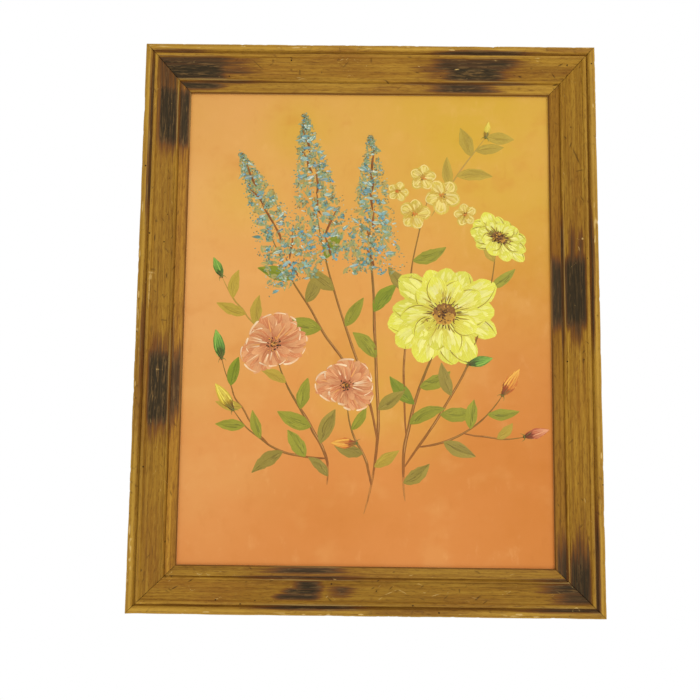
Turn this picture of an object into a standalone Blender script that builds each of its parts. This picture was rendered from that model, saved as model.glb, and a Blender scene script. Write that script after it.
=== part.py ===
"""Framed oil painting: a canvas board in a mitred frame of distressed wood.

The picture faces -Y, +Z is up and +X is on the right of someone who looks at it.
The origin is the middle of the back face of the hanger, where the frame hangs on its wall nail.
All sizes are in metres.
"""

import math

import bmesh
import bpy

# Fits
TOUCH_GAP = 0.0003
BOARD_CLEARANCE = 0.0008
NAIL_CLEARANCE = 0.0003
POINT_CLEARANCE = 0.0003

# Canvas board, 14 by 18 inches
BOARD_WIDTH = 0.3556
BOARD_HEIGHT = 0.4572
BOARD_THICKNESS = 0.0032
BOARD_EDGE_ROUND = 0.0004

# Moulding, from its outer edge inward: bead, groove, fillet, sloping panel, ridge, inner groove, lip
RAIL_WIDTH = 0.0398
RAIL_DEPTH = 0.0350
BEAD_WIDTH = 0.0070
BEAD_RISE = 0.0024
GROOVE_WIDTH = 0.0016
GROOVE_CUT = 0.0010
FILLET_WIDTH = 0.0036
FILLET_RISE = 0.0012
FILLET_DROP = 0.0014
PANEL_DROP = 0.0120
RIDGE_WIDTH = 0.0023
RIDGE_RISE = 0.0011
RIDGE_DROP = 0.0014
INNER_GROOVE_WIDTH = 0.0011
INNER_GROOVE_CUT = 0.0007
LIP_WIDTH = 0.0088
LIP_DROP = 0.0034
SIGHT_ROUND = 0.0009
SIGHT_WALL = 0.0026
RABBET_WIDTH = 0.00635

# Framer's points, two in each rail
POINT_WIDTH = 0.0070
POINT_LENGTH = 0.0160
POINT_THICKNESS = 0.0008
POINT_BITE = 0.0065
POINT_TIP = 0.0035
POINT_INSET = 0.0900

# Sawtooth hanger and its two nails
HANGER_LENGTH = 0.0600
HANGER_HEIGHT = 0.0100
HANGER_SHEET = 0.0010
HANGER_STAND_OFF = 0.0018
HANGER_TAB = 0.0100
HANGER_BEND = 0.0020
HANGER_BELOW_EDGE = 0.0140
TOOTH_PITCH = 0.0030
TOOTH_DEPTH = 0.0016
NAIL_DIAMETER = 0.0014
NAIL_HEAD_DIAMETER = 0.0034
NAIL_HEAD_THICKNESS = 0.0007
NAIL_LENGTH = 0.0127
NAIL_TIP = 0.0020

# Smoothness of the round stretches
BEAD_STEPS = 14
FILLET_STEPS = 8
RIDGE_STEPS = 8
SIGHT_STEPS = 4
NAIL_SIDES = 16

# Depths behind the crest of the bead
FILLET_FOOT = BEAD_RISE
PANEL_TOP = FILLET_FOOT + FILLET_DROP
PANEL_FOOT = PANEL_TOP + PANEL_DROP
RIDGE_FOOT = PANEL_FOOT + RIDGE_DROP
LIP_FOOT = RIDGE_FOOT + LIP_DROP
LIP_BACK = LIP_FOOT + SIGHT_ROUND + SIGHT_WALL
BOARD_FRONT = LIP_BACK + TOUCH_GAP
POINT_FRONT = BOARD_FRONT + BOARD_THICKNESS + TOUCH_GAP

# Outlines that follow from the board and its clearance
OPENING_WIDTH = BOARD_WIDTH + 2 * BOARD_CLEARANCE
OPENING_HEIGHT = BOARD_HEIGHT + 2 * BOARD_CLEARANCE
RABBET_WALL = RAIL_WIDTH - RABBET_WIDTH
FRAME_WIDTH = OPENING_WIDTH + 2 * RABBET_WALL
FRAME_HEIGHT = OPENING_HEIGHT + 2 * RABBET_WALL

# Places, seen from the origin
RAIL_BACK_Y = -(HANGER_STAND_OFF + HANGER_SHEET + TOUCH_GAP)
FRAME_CENTRE_Z = HANGER_BELOW_EDGE - FRAME_HEIGHT / 2

# Each rail's side of the frame: its turn about Y from the top side
SIDES = {"top": 0.0, "right": 90.0, "bottom": 180.0, "left": 270.0}

# Colours, roughness and metallic value of each finish
FINISHES = {
    "frame_wood": ((0.330, 0.178, 0.045), 0.55, 0.0),
    "canvas_board": ((0.680, 0.300, 0.085), 0.60, 0.0),
    "steel": ((0.560, 0.560, 0.570), 0.38, 1.0),
}


def clear_scene():
    """Removes the objects that the file opens with."""
    for thing in list(bpy.data.objects):
        bpy.data.objects.remove(thing, do_unlink=True)


def finish_material(name):
    """A plain material with the colour, roughness and metallic value of one finish."""
    colour, roughness, metallic = FINISHES[name]
    made = bpy.data.materials.new(name)
    made.use_nodes = True
    shader = made.node_tree.nodes["Principled BSDF"]
    shader.inputs["Base Color"].default_value = (*colour, 1.0)
    shader.inputs["Roughness"].default_value = roughness
    shader.inputs["Metallic"].default_value = metallic
    return made


def add_object(name, shape, finish=None, parent=None, smooth_under=None):
    """Turns a bmesh into a named object, with its material if it has one."""
    bmesh.ops.recalc_face_normals(shape, faces=shape.faces)
    mesh = bpy.data.meshes.new(name)
    shape.to_mesh(mesh)
    shape.free()
    if smooth_under is not None:
        mesh.shade_smooth()
        mesh.set_sharp_from_angle(angle=math.radians(smooth_under))
    if finish is not None:
        mesh.materials.append(finish)
    thing = bpy.data.objects.new(name, mesh)
    bpy.context.scene.collection.objects.link(thing)
    thing.parent = parent
    return thing


def bridge(shape, first, second):
    """Joins two rings of vertices of equal length with quads."""
    count = len(first)
    for i in range(count):
        j = (i + 1) % count
        shape.faces.new((first[i], first[j], second[j], second[i]))


def prism(outline, y_front, y_back):
    """A closed bmesh from an outline in X and Z, extruded along Y."""
    shape = bmesh.new()
    front = [shape.verts.new((x, y_front, z)) for x, z in outline]
    back = [shape.verts.new((x, y_back, z)) for x, z in outline]
    shape.faces.new(front)
    shape.faces.new(back)
    bridge(shape, front, back)
    return shape


def turned(profile, sides):
    """A closed bmesh turned about Y from points (radius, y), the first and last on the axis."""
    shape = bmesh.new()
    rings = []
    for radius, y in profile[1:-1]:
        ring = []
        for k in range(sides):
            angle = math.tau * k / sides
            ring.append(shape.verts.new((radius * math.cos(angle), y, radius * math.sin(angle))))
        rings.append(ring)
    for first, second in zip(rings, rings[1:]):
        bridge(shape, first, second)
    for ring, (_, y) in ((rings[0], profile[0]), (rings[-1], profile[-1])):
        middle = shape.verts.new((0.0, y, 0.0))
        for k in range(sides):
            shape.faces.new((ring[k], ring[(k + 1) % sides], middle))
    return shape


def make_cutter(name, shape, parent):
    """An object that only cuts: it is hidden in renders and drawn as wire."""
    cutter = add_object(name, shape, parent=parent)
    cutter.hide_render = True
    cutter.display_type = "WIRE"
    return cutter


def cut(target, cutter):
    """Takes the cutter's shape out of the target."""
    modifier = target.modifiers.new("cut_" + cutter.name, "BOOLEAN")
    modifier.operation = "DIFFERENCE"
    modifier.solver = "EXACT"
    modifier.object = cutter


def arch(start, end, rise, steps):
    """Points of a half ellipse that stands on the chord from start to end, without its end."""
    points = []
    for k in range(steps):
        turn = math.pi * k / steps
        share = (1 - math.cos(turn)) / 2
        inward = start[0] + (end[0] - start[0]) * share
        behind = start[1] + (end[1] - start[1]) * share - rise * math.sin(turn)
        points.append((inward, behind))
    return points


def moulding_section():
    """The moulding's outline as (inward from the outer edge, behind the bead's crest)."""
    bead_end = (BEAD_WIDTH, BEAD_RISE)
    groove_bottom = (BEAD_WIDTH + GROOVE_WIDTH / 2, BEAD_RISE + GROOVE_CUT)
    fillet_start = (BEAD_WIDTH + GROOVE_WIDTH, FILLET_FOOT)
    panel_start = (fillet_start[0] + FILLET_WIDTH, PANEL_TOP)
    lip_start = (RAIL_WIDTH - LIP_WIDTH, RIDGE_FOOT)
    ridge_end = (lip_start[0] - INNER_GROOVE_WIDTH, RIDGE_FOOT)
    inner_bottom = (lip_start[0] - INNER_GROOVE_WIDTH / 2, RIDGE_FOOT + INNER_GROOVE_CUT)
    ridge_start = (ridge_end[0] - RIDGE_WIDTH, PANEL_FOOT)

    section = [(0.0, RAIL_DEPTH)]
    section += arch((0.0, BEAD_RISE), bead_end, BEAD_RISE, BEAD_STEPS)
    section += [bead_end, groove_bottom]
    section += arch(fillet_start, panel_start, FILLET_RISE, FILLET_STEPS)
    section += [panel_start]
    section += arch(ridge_start, ridge_end, RIDGE_RISE, RIDGE_STEPS)
    section += [ridge_end, inner_bottom, lip_start]
    for k in range(SIGHT_STEPS + 1):
        turn = math.pi / 2 * k / SIGHT_STEPS
        inward = RAIL_WIDTH - SIGHT_ROUND * (1 - math.sin(turn))
        section.append((inward, LIP_FOOT + SIGHT_ROUND * (1 - math.cos(turn))))
    section += [(RAIL_WIDTH, LIP_BACK), (RABBET_WALL, LIP_BACK), (RABBET_WALL, RAIL_DEPTH)]
    return section


def side_length(side):
    """The outer length of a rail."""
    return FRAME_WIDTH if side in ("top", "bottom") else FRAME_HEIGHT


def side_reach(side):
    """How far a rail's outer edge lies from the frame's centre."""
    return FRAME_HEIGHT / 2 if side in ("top", "bottom") else FRAME_WIDTH / 2


def turn_to_side(thing, side):
    """Turns a piece that was made for the top side round to its own side."""
    thing.rotation_euler = (0.0, math.radians(SIDES[side]), 0.0)


def make_rail(side, parent, finish):
    """One rail, with the moulding's section run along it and both ends mitred."""
    setback = TOUCH_GAP / math.sqrt(2)
    reach = side_reach(side)
    shape = bmesh.new()
    ends = []
    for end in (-1, 1):
        ring = []
        for inward, behind in moulding_section():
            along = side_length(side) / 2 - inward - setback
            ring.append(shape.verts.new((end * along, behind - RAIL_DEPTH, reach - inward)))
        shape.faces.new(ring)
        ends.append(ring)
    bridge(shape, ends[0], ends[1])
    rail = add_object("rail_" + side, shape, finish, parent, smooth_under=25)
    turn_to_side(rail, side)
    return rail


def make_board(parent, finish):
    """The canvas board, which rests against the back of the frame's lip."""
    half_width = BOARD_WIDTH / 2
    half_height = BOARD_HEIGHT / 2
    outline = [
        (-half_width, -half_height),
        (half_width, -half_height),
        (half_width, half_height),
        (-half_width, half_height),
    ]
    front = BOARD_FRONT - RAIL_DEPTH
    board = add_object("canvas_board", prism(outline, front, front + BOARD_THICKNESS), finish, parent)
    rounding = board.modifiers.new("rounded_edges", "BEVEL")
    rounding.width = BOARD_EDGE_ROUND
    rounding.segments = 2
    return board


def make_point(side, end, rail, parent, finish):
    """One framer's point, and the slot that it was driven into."""
    wall = side_reach(side) - RABBET_WALL
    along = end * (side_length(side) / 2 - POINT_INSET)
    half = POINT_WIDTH / 2
    tip = wall + POINT_BITE
    shoulder = tip - POINT_TIP
    foot = tip - POINT_LENGTH
    outline = [
        (along - half, foot),
        (along + half, foot),
        (along + half, shoulder),
        (along, tip),
        (along - half, shoulder),
    ]
    front = POINT_FRONT - RAIL_DEPTH
    label = side + ("_a" if end < 0 else "_b")
    point = add_object("point_" + label, prism(outline, front, front + POINT_THICKNESS), finish, parent)
    turn_to_side(point, side)

    room = half + POINT_CLEARANCE
    slot_outline = [
        (along - room, foot),
        (along + room, foot),
        (along + room, tip + POINT_CLEARANCE),
        (along - room, tip + POINT_CLEARANCE),
    ]
    slot_back = front + POINT_THICKNESS + POINT_CLEARANCE
    slot = make_cutter("slot_" + label, prism(slot_outline, front - POINT_CLEARANCE, slot_back), parent)
    turn_to_side(slot, side)
    cut(rail, slot)
    return point


def nail_hole(name, parent):
    """The cutter for one nail's hole, through the hanger's tab and into the rail."""
    radius = NAIL_DIAMETER / 2 + NAIL_CLEARANCE
    profile = [(0.0, 0.0), (radius, 0.0), (radius, -NAIL_LENGTH), (0.0, -NAIL_LENGTH - NAIL_CLEARANCE)]
    return make_cutter(name, turned(profile, NAIL_SIDES), parent)


def make_hanger(finish):
    """The toothed strip: two tabs on the wood, and a middle that stands off it."""
    half = HANGER_LENGTH / 2
    inner = half - HANGER_TAB
    toothed = inner - HANGER_BEND
    teeth = max(1, round(2 * toothed / TOOTH_PITCH))
    stations = [(-half, HANGER_STAND_OFF, 0.0), (-inner, HANGER_STAND_OFF, 0.0)]
    for k in range(2 * teeth + 1):
        x = toothed * (k / teeth - 1)
        stations.append((x, 0.0, TOOTH_DEPTH if k % 2 == 0 else 0.0))
    stations += [(inner, HANGER_STAND_OFF, 0.0), (half, HANGER_STAND_OFF, 0.0)]

    shape = bmesh.new()
    rings = []
    for x, sunk, notch in stations:
        corners = [
            (x, -sunk, HANGER_HEIGHT / 2),
            (x, -sunk, notch - HANGER_HEIGHT / 2),
            (x, -sunk - HANGER_SHEET, notch - HANGER_HEIGHT / 2),
            (x, -sunk - HANGER_SHEET, HANGER_HEIGHT / 2),
        ]
        rings.append([shape.verts.new(corner) for corner in corners])
    for first, second in zip(rings, rings[1:]):
        bridge(shape, first, second)
    shape.faces.new(rings[0])
    shape.faces.new(rings[-1])
    return add_object("sawtooth_hanger", shape, finish)


def make_nail(name, hanger, rail, place, finish):
    """One hanger nail, and its hole through the tab and in the rail."""
    radius = NAIL_DIAMETER / 2
    head = NAIL_HEAD_DIAMETER / 2
    profile = [
        (0.0, NAIL_HEAD_THICKNESS),
        (head, NAIL_HEAD_THICKNESS),
        (head, 0.0),
        (radius, 0.0),
        (radius, NAIL_TIP - NAIL_LENGTH),
        (0.0, -NAIL_LENGTH),
    ]
    nail = add_object(name, turned(profile, NAIL_SIDES), finish, smooth_under=40)
    nail.location = place
    hole = nail_hole("hole_for_" + name, None)
    hole.location = place
    cut(hanger, hole)
    cut(rail, hole)
    return nail


clear_scene()
wood = finish_material("frame_wood")
canvas = finish_material("canvas_board")
steel = finish_material("steel")

frame_centre = bpy.data.objects.new("frame_centre", None)
frame_centre.location = (0.0, RAIL_BACK_Y, FRAME_CENTRE_Z)
bpy.context.scene.collection.objects.link(frame_centre)

rails = {side: make_rail(side, frame_centre, wood) for side in SIDES}
make_board(frame_centre, canvas)
for rail_side, rail_object in rails.items():
    for rail_end in (-1, 1):
        make_point(rail_side, rail_end, rail_object, frame_centre, steel)

sawtooth = make_hanger(steel)
tab_back_y = -HANGER_STAND_OFF + TOUCH_GAP
tab_middle = (HANGER_LENGTH - HANGER_TAB) / 2
for side_word, sign in (("left", -1), ("right", 1)):
    nail_place = (sign * tab_middle, tab_back_y, 0.0)
    make_nail("hanger_nail_" + side_word, sawtooth, rails["top"], nail_place, steel)
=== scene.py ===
# %% [markdown]
# # A framed flower painting
#
# The object is a small oil painting on canvas board, in a frame of golden brown wood that its maker
# scorched in patches, brushed along the grain and marked with knife cuts and worm holes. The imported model
# holds the exact pieces: four mitred rails, the board, and the metal fittings at the back. This script
# gives them their looks, and it starts by loading that model. The picture faces -Y, +Z is up, and all
# sizes are in metres.

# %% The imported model
import math

import bpy
import numpy as np
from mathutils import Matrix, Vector


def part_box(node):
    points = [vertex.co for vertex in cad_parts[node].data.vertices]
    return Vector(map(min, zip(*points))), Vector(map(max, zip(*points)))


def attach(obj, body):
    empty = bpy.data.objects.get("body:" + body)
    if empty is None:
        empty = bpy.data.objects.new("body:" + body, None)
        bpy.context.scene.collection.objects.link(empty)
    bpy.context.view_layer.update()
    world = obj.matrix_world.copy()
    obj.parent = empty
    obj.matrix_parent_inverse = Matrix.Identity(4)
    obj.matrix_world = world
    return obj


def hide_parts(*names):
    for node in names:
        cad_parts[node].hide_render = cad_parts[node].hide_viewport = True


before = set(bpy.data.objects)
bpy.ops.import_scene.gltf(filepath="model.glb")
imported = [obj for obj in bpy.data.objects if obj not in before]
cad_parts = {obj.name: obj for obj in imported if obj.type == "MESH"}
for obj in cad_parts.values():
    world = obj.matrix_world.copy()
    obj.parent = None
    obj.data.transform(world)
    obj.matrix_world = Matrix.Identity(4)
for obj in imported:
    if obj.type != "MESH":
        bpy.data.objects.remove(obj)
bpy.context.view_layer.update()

# %% [markdown]
# ## Where things are
#
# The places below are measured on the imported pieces, so the finish moves with them. Only the moulding's
# own small sizes are written out again, where its outline is drawn. The front plane is the crest of the
# outer bead, the part of the frame that stands nearest to a viewer. The frame hangs from the origin, so
# its middle lies below it.

# %% Places on the frame
MM = 0.001
rail_left_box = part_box("rail_left")
rail_right_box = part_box("rail_right")
board_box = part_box("canvas_board")
OUTER_LEFT = rail_left_box[0].x
OUTER_RIGHT = rail_right_box[1].x
OUTER_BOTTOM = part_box("rail_bottom")[0].z
OUTER_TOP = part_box("rail_top")[1].z
FRONT_Y = rail_left_box[0].y
BACK_Y = rail_left_box[1].y
BOARD_Y = board_box[0].y
CENTRE = Vector(((OUTER_LEFT + OUTER_RIGHT) / 2, FRONT_Y, (OUTER_BOTTOM + OUTER_TOP) / 2))
HALF_WIDTH = (OUTER_RIGHT - OUTER_LEFT) / 2
HALF_HEIGHT = (OUTER_TOP - OUTER_BOTTOM) / 2
print("frame:", round(2 * HALF_WIDTH, 4), "x", round(2 * HALF_HEIGHT, 4), "centre", CENTRE)

# %% [markdown]
# ## Camera
#
# The photographer stood a little below the middle of the picture and tilted the camera up by six degrees,
# so the frame's sides lean together towards the top. The distance, height and lens come from a fit of a
# pinhole camera to the frame's four corners and the lines of its moulding. The focal length is given in
# pixels of the photograph, because that is how it was measured.

# %% The camera
PHOTO_SIDE_PX = 700
FOCAL_PX = 829
SENSOR_WIDTH_MM = 36.0
CAMERA_LEFT_OF_CENTRE = 0.0121
CAMERA_BELOW_CENTRE = 0.1075
CAMERA_TO_FRONT = 0.7475
CAMERA_TILT_UP = 6.114
CAMERA_ROLL = -0.621
CAMERA_TURN = 0.231

camera_data = bpy.data.cameras.new("photo_camera")
camera_data.sensor_width = SENSOR_WIDTH_MM
camera_data.lens = FOCAL_PX / PHOTO_SIDE_PX * SENSOR_WIDTH_MM
camera_data.clip_start = 0.01
camera_data.clip_end = 50.0
camera = bpy.data.objects.new("photo_camera", camera_data)
camera.location = CENTRE + Vector((-CAMERA_LEFT_OF_CENTRE, -CAMERA_TO_FRONT, -CAMERA_BELOW_CENTRE))
camera.rotation_euler = [math.radians(a) for a in (90 + CAMERA_TILT_UP, CAMERA_ROLL, CAMERA_TURN)]
bpy.context.scene.collection.objects.link(camera)
bpy.context.scene.camera = camera
print("camera: lens", round(camera_data.lens, 2), "mm at", camera.location)

# %% [markdown]
# ## Helpers for materials
#
# A procedural material is a small graph of nodes. A few helpers keep such graphs short: one adds a node
# and links or sets its inputs, and the others use it for arithmetic, for products of shares, for mixing
# colours, for soft thresholds and for noise. Colours are given as the 0 to 255 values that an eye reads
# off a picture, and are turned into the linear values that light is counted in.

# %% Node helpers
def tone(red, green, blue):
    """Display values from 0 to 255 as a linear colour."""
    shares = [v / 255 for v in (red, green, blue)]
    return tuple(s / 12.92 if s <= 0.04045 else ((s + 0.055) / 1.055) ** 2.4 for s in shares) + (1.0,)


def put(tree, kind, inputs=None, **settings):
    """Adds a shader node, applies its settings, and sets or links its inputs."""
    node = tree.nodes.new("ShaderNode" + kind)
    for name, value in settings.items():
        setattr(node, name, value)
    for key, value in (inputs or {}).items():
        if isinstance(value, bpy.types.NodeSocket):
            tree.links.new(value, node.inputs[key])
        else:
            node.inputs[key].default_value = value
    return node


def calc(tree, operation, *values):
    """Arithmetic on numbers or sockets."""
    return put(tree, "Math", dict(enumerate(values)), operation=operation).outputs[0]


def product(tree, first, *others):
    """The product of several shares, which is full only where all of them are."""
    for other in others:
        first = calc(tree, "MULTIPLY", first, other)
    return first


def mix(tree, share, first, second, blend="MIX"):
    """Mixes two colours; share 0 gives the first."""
    node = put(tree, "Mix", {0: share, 6: first, 7: second}, data_type="RGBA", blend_type=blend)
    node.clamp_factor = True
    return node.outputs[2]


def soft_step(tree, value, low, high):
    """Rises smoothly from 0 at low to 1 at high."""
    inputs = {"Value": value, "From Min": low, "From Max": high}
    return put(tree, "MapRange", inputs, interpolation_type="SMOOTHSTEP").outputs["Result"]


def tinted(tree, colour, shade, pattern, low, high, strength):
    """Mixes a shade in as a pattern goes from low to high, at most by the given strength."""
    return mix(tree, product(tree, soft_step(tree, pattern, low, high), strength), colour, shade)


def cloud(tree, vector, scales, detail=3.0, roughness=0.55):
    """Smooth noise between 0 and 1, with a scale for each axis, so that it can be drawn out along one."""
    place = put(tree, "VectorMath", {0: vector, 1: scales}, operation="MULTIPLY").outputs[0]
    inputs = {"Vector": place, "Scale": 1.0, "Detail": detail, "Roughness": roughness}
    return put(tree, "TexNoise", inputs).outputs[0]


def attribute(tree, name, output="Fac"):
    """Reads a value that the mesh carries at each of its points."""
    return put(tree, "Attribute", attribute_type="GEOMETRY", attribute_name=name).outputs[output]


def new_material(name):
    """An empty procedural material: the material, its graph and its shader."""
    material = bpy.data.materials.new(name)
    material.use_nodes = True
    return material, material.node_tree, material.node_tree.nodes["Principled BSDF"]


def bump(tree, shader, height, distance):
    """Raises the shader's surface by a height socket times a distance in metres."""
    node = put(tree, "Bump", {"Height": height, "Distance": distance, "Strength": 1.0})
    tree.links.new(node.outputs[0], shader.inputs["Normal"])


print("node helpers ready")

# %% [markdown]
# ## The moulding's outline
#
# All four rails are lengths of one moulding. From the outside inward it has a rounded bead, a narrow
# groove, a fillet, a broad panel that slopes down to the picture, a thin ridge with a groove beside it,
# and a lip. The outline is drawn from those sizes as arcs and straight runs, and then divided finely
# enough to carry grain and knife cuts. A bevelled curve could sweep it too, but a mesh in code lets every
# point be worn separately.

# %% The outline as points
RAIL_WIDTH = 39.8 * MM
RAIL_DEPTH = BACK_Y - FRONT_Y
BEAD_WIDTH = 7.0 * MM
BEAD_RISE = 2.4 * MM
GROOVE_WIDTH = 1.6 * MM
GROOVE_CUT = 1.0 * MM
FILLET_WIDTH = 3.6 * MM
FILLET_RISE = 1.2 * MM
PANEL_TOP = BEAD_RISE + 1.4 * MM
PANEL_FOOT = PANEL_TOP + 12.0 * MM
RIDGE_WIDTH = 2.3 * MM
RIDGE_RISE = 1.1 * MM
RIDGE_FOOT = PANEL_FOOT + 1.4 * MM
INNER_GROOVE_WIDTH = 1.1 * MM
INNER_GROOVE_CUT = 0.7 * MM
LIP_WIDTH = 8.8 * MM
LIP_FOOT = RIDGE_FOOT + 3.4 * MM
SIGHT_ROUND = 0.9 * MM
LIP_BACK = LIP_FOOT + SIGHT_ROUND + 2.6 * MM
RABBET_WALL = RAIL_WIDTH - 6.35 * MM
PANEL_START = BEAD_WIDTH + GROOVE_WIDTH + FILLET_WIDTH
LIP_START = RAIL_WIDTH - LIP_WIDTH
RIDGE_START = LIP_START - INNER_GROOVE_WIDTH - RIDGE_WIDTH
ARCH_STEPS = 10


def arch(start, end, rise):
    """Points of a half ellipse on the chord from start to end, without its end."""
    points = []
    for k in range(ARCH_STEPS):
        turn = math.pi * k / ARCH_STEPS
        share = (1 - math.cos(turn)) / 2
        inward = start[0] + (end[0] - start[0]) * share
        points.append((inward, start[1] + (end[1] - start[1]) * share - rise * math.sin(turn)))
    return points


def moulding_outline():
    """The outline as (inward from the outer edge, behind the bead's crest)."""
    outline = [(0.0, RAIL_DEPTH)]
    outline += arch((0.0, BEAD_RISE), (BEAD_WIDTH, BEAD_RISE), BEAD_RISE)
    outline += [(BEAD_WIDTH, BEAD_RISE), (BEAD_WIDTH + GROOVE_WIDTH / 2, BEAD_RISE + GROOVE_CUT)]
    outline += arch((BEAD_WIDTH + GROOVE_WIDTH, BEAD_RISE), (PANEL_START, PANEL_TOP), FILLET_RISE)
    outline += [(PANEL_START, PANEL_TOP)]
    outline += arch((RIDGE_START, PANEL_FOOT), (RIDGE_START + RIDGE_WIDTH, RIDGE_FOOT), RIDGE_RISE)
    outline += [(RIDGE_START + RIDGE_WIDTH, RIDGE_FOOT)]
    outline += [(LIP_START - INNER_GROOVE_WIDTH / 2, RIDGE_FOOT + INNER_GROOVE_CUT), (LIP_START, RIDGE_FOOT)]
    for turn in np.linspace(0, math.pi / 2, 5):
        inward = RAIL_WIDTH - SIGHT_ROUND * (1 - math.sin(turn))
        outline.append((inward, LIP_FOOT + SIGHT_ROUND * (1 - math.cos(turn))))
    return outline + [(RAIL_WIDTH, LIP_BACK), (RABBET_WALL, LIP_BACK), (RABBET_WALL, RAIL_DEPTH)]


print("outline:", len(moulding_outline()), "corner points")

# %% [markdown]
# Shown faces get a point every half millimetre, and the hidden sides one every few millimetres. Two
# things are measured on the fine outline, because the finish needs them: which way is out of the wood,
# and whether a point stands proud of its surroundings, like the bead, or lies sunk, like a groove. The
# finish darkens what is sunk, with dirt and painted shade, and lightens what stands proud, with rubbed
# stain and a painted highlight. The open corner between the panel and the ridge gets less of that
# painted shade than a groove, so it counts as hardly sunk.

# %% The fine outline
FINE_STEP = 0.55 * MM
COARSE_STEP = 3.0 * MM
PROUD_SPREAD = 1.8 * MM


def fine_outline():
    """The outline's points after dividing its runs."""
    corners = [np.array(p) for p in moulding_outline()]
    points = []
    for start, end in zip(corners, corners[1:] + corners[:1]):
        shown = max(start[1], end[1]) < LIP_FOOT + 2 * SIGHT_ROUND
        parts = max(1, math.ceil(np.linalg.norm(end - start) / (FINE_STEP if shown else COARSE_STEP)))
        points += [start + (end - start) * k / parts for k in range(parts)]
    return np.array(points)


def outward_directions(points):
    """For each point of a closed outline, the direction out of the wood."""
    run = np.roll(points, -1, axis=0) - np.roll(points, 1, axis=0)
    out = np.stack([run[:, 1], -run[:, 0]], axis=1)
    x, y = points[:, 0], points[:, 1]
    area = (x * np.roll(y, -1) - np.roll(x, -1) * y).sum()
    return out / np.linalg.norm(out, axis=1, keepdims=True) * np.sign(area)


def proudness(points, out):
    """How far each point stands out from its surroundings, in millimetres."""
    steps = np.linalg.norm(np.roll(points, -1, axis=0) - points, axis=1)
    place = np.concatenate([[0], np.cumsum(steps)[:-1]])
    apart = np.abs(place[:, None] - place[None, :])
    apart = np.minimum(apart, steps.sum() - apart)
    weight = np.exp(-((apart / PROUD_SPREAD) ** 2)) * (steps + np.roll(steps, 1))[None, :]
    around = weight @ points / weight.sum(axis=1, keepdims=True)
    return ((points - around) * out).sum(axis=1) / MM


OPEN_CORNER = -0.14
OUTLINE = fine_outline()
OUTWARD = outward_directions(OUTLINE)
PROUD = proudness(OUTLINE, OUTWARD)
# The open corner beside the ridge counts as hardly sunk, so it gets little of the dirt and painted shade.
beside_ridge = (OUTLINE[:, 0] > PANEL_START) & (OUTLINE[:, 0] < RIDGE_START + RIDGE_WIDTH / 2)
PROUD = np.where(beside_ridge, np.maximum(PROUD, OPEN_CORNER), PROUD)
print("fine outline:", len(OUTLINE), "points, proudness", PROUD.min().round(2), "to", PROUD.max().round(2))

# %% [markdown]
# ## Scorches
#
# The maker held a torch to the frame in about ten places. Each scorch is a window along the rail and
# across the moulding, dark in its middle and fading at its ends, where the burn ran out along the softer
# grain. The windows are written per rail: along the rail from its middle (to the right on level rails,
# upward on standing ones), and inward from the outer edge, all in millimetres. The mesh carries only the
# soft window, and the material breaks its edge up with the same grain streaks that colour the wood.

# %% Where the wood is scorched
# Each row: along from, along to, inward from, inward to, strength, fade along.
SCORCHES = {
    "top": [
        (-230, -139, 17, 28, 1.18, 9), (-230, -128, 12, 19, 0.84, 16), (-230, -106, 13, 26, 0.52, 18),
        (-200, -143, 30.5, 37, 1.08, 10), (-176, -112, 29.5, 32, 0.86, 28), (60, 138, 12, 20, 0.98, 12),
        (74, 128, 18, 28, 1.22, 12), (46, 148, 13, 26, 0.48, 16), (62, 118, 31, 38, 1.04, 17),
        (40, 150, 29.5, 31.5, 0.84, 28), (58, 152, 5.5, 8.5, 0.88, 22), (-212, -150, 6, 8.5, 0.60, 26),
    ],
    "left": [
        (168, 226, 14, 28, 1.18, 9), (160, 262, 12, 28, 0.66, 14), (168, 226, 30, 39, 1.10, 9),
        (156, 262, 29.5, 38, 0.52, 14), (-96, -29, 12.8, 28, 1.26, 9), (-108, -14, 13.5, 28, 0.58, 14),
        (-92, -26, 30, 39, 0.74, 17), (-104, 4, 29.5, 31.5, 0.70, 22), (-74, 24, 5.5, 8.5, 0.62, 34),
        (90, 262, 5.5, 8.5, 0.70, 34),
    ],
    "right": [
        (-2, 62, 12.5, 27.6, 1.26, 10), (16, 86, 14, 17, 0.90, 14), (-18, 12, 15, 25, 0.60, 12),
        (30, 90, 20, 24, 0.80, 14), (-2, 62, 31, 39, 1.16, 10), (-26, 98, 29.3, 31.5, 0.96, 24),
        (-20, 100, 5.5, 8, 0.96, 24), (-270, -204, 13, 27.6, 1.10, 20), (-270, -180, 16, 24, 0.62, 22),
        (-270, -196, 30, 38, 0.90, 20), (-270, -168, 5.5, 8.5, 0.90, 26),
    ],
    "bottom": [
        (-80, -42, 13.5, 18, 1.04, 7), (-72, -41, 17, 22, 1.18, 7), (-62, -40, 21, 27.8, 1.22, 7),
        (-31, -11, 16, 24, 0.74, 10), (-104, -6, 29.3, 32, 1.06, 28), (-84, -22, 34, 39, 1.04, 18),
        (-92, -2, 5.5, 9, 0.96, 28), (160, 230, 20, 28, 1.02, 16), (168, 230, 12.5, 21, 0.90, 16),
        (152, 230, 29.3, 32, 0.74, 22), (146, 230, 5.5, 8.5, 0.92, 24),
    ],
}
FADE_ACROSS = 1.7


def scorched(side, along, inward):
    """How scorched a rail is at places given in millimetres: 1 in a burn, 0.5 on its edge."""
    char = np.zeros(np.broadcast(along, inward).shape)
    for start, end, outer, inner, strength, fade in SCORCHES[side]:
        past_end = np.abs(along - (start + end) / 2) - (end - start) / 2
        past_side = np.abs(inward - (outer + inner) / 2) - (inner - outer) / 2
        out = np.hypot(np.maximum(past_end / fade + 1, 0), np.maximum(past_side / FADE_ACROSS + 1, 0))
        char = np.maximum(char, strength * np.clip(1 - out / 2, 0, 1))
    return char


def window(values, low, high, fade):
    """1 between low and high, fading to 0 over the given distance outside them."""
    outside = np.maximum(np.maximum(low - values, values - high), 0) / fade
    return np.clip(1 - outside, 0, 1)


print("scorches:", {side: len(rows) for side, rows in SCORCHES.items()})

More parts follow.
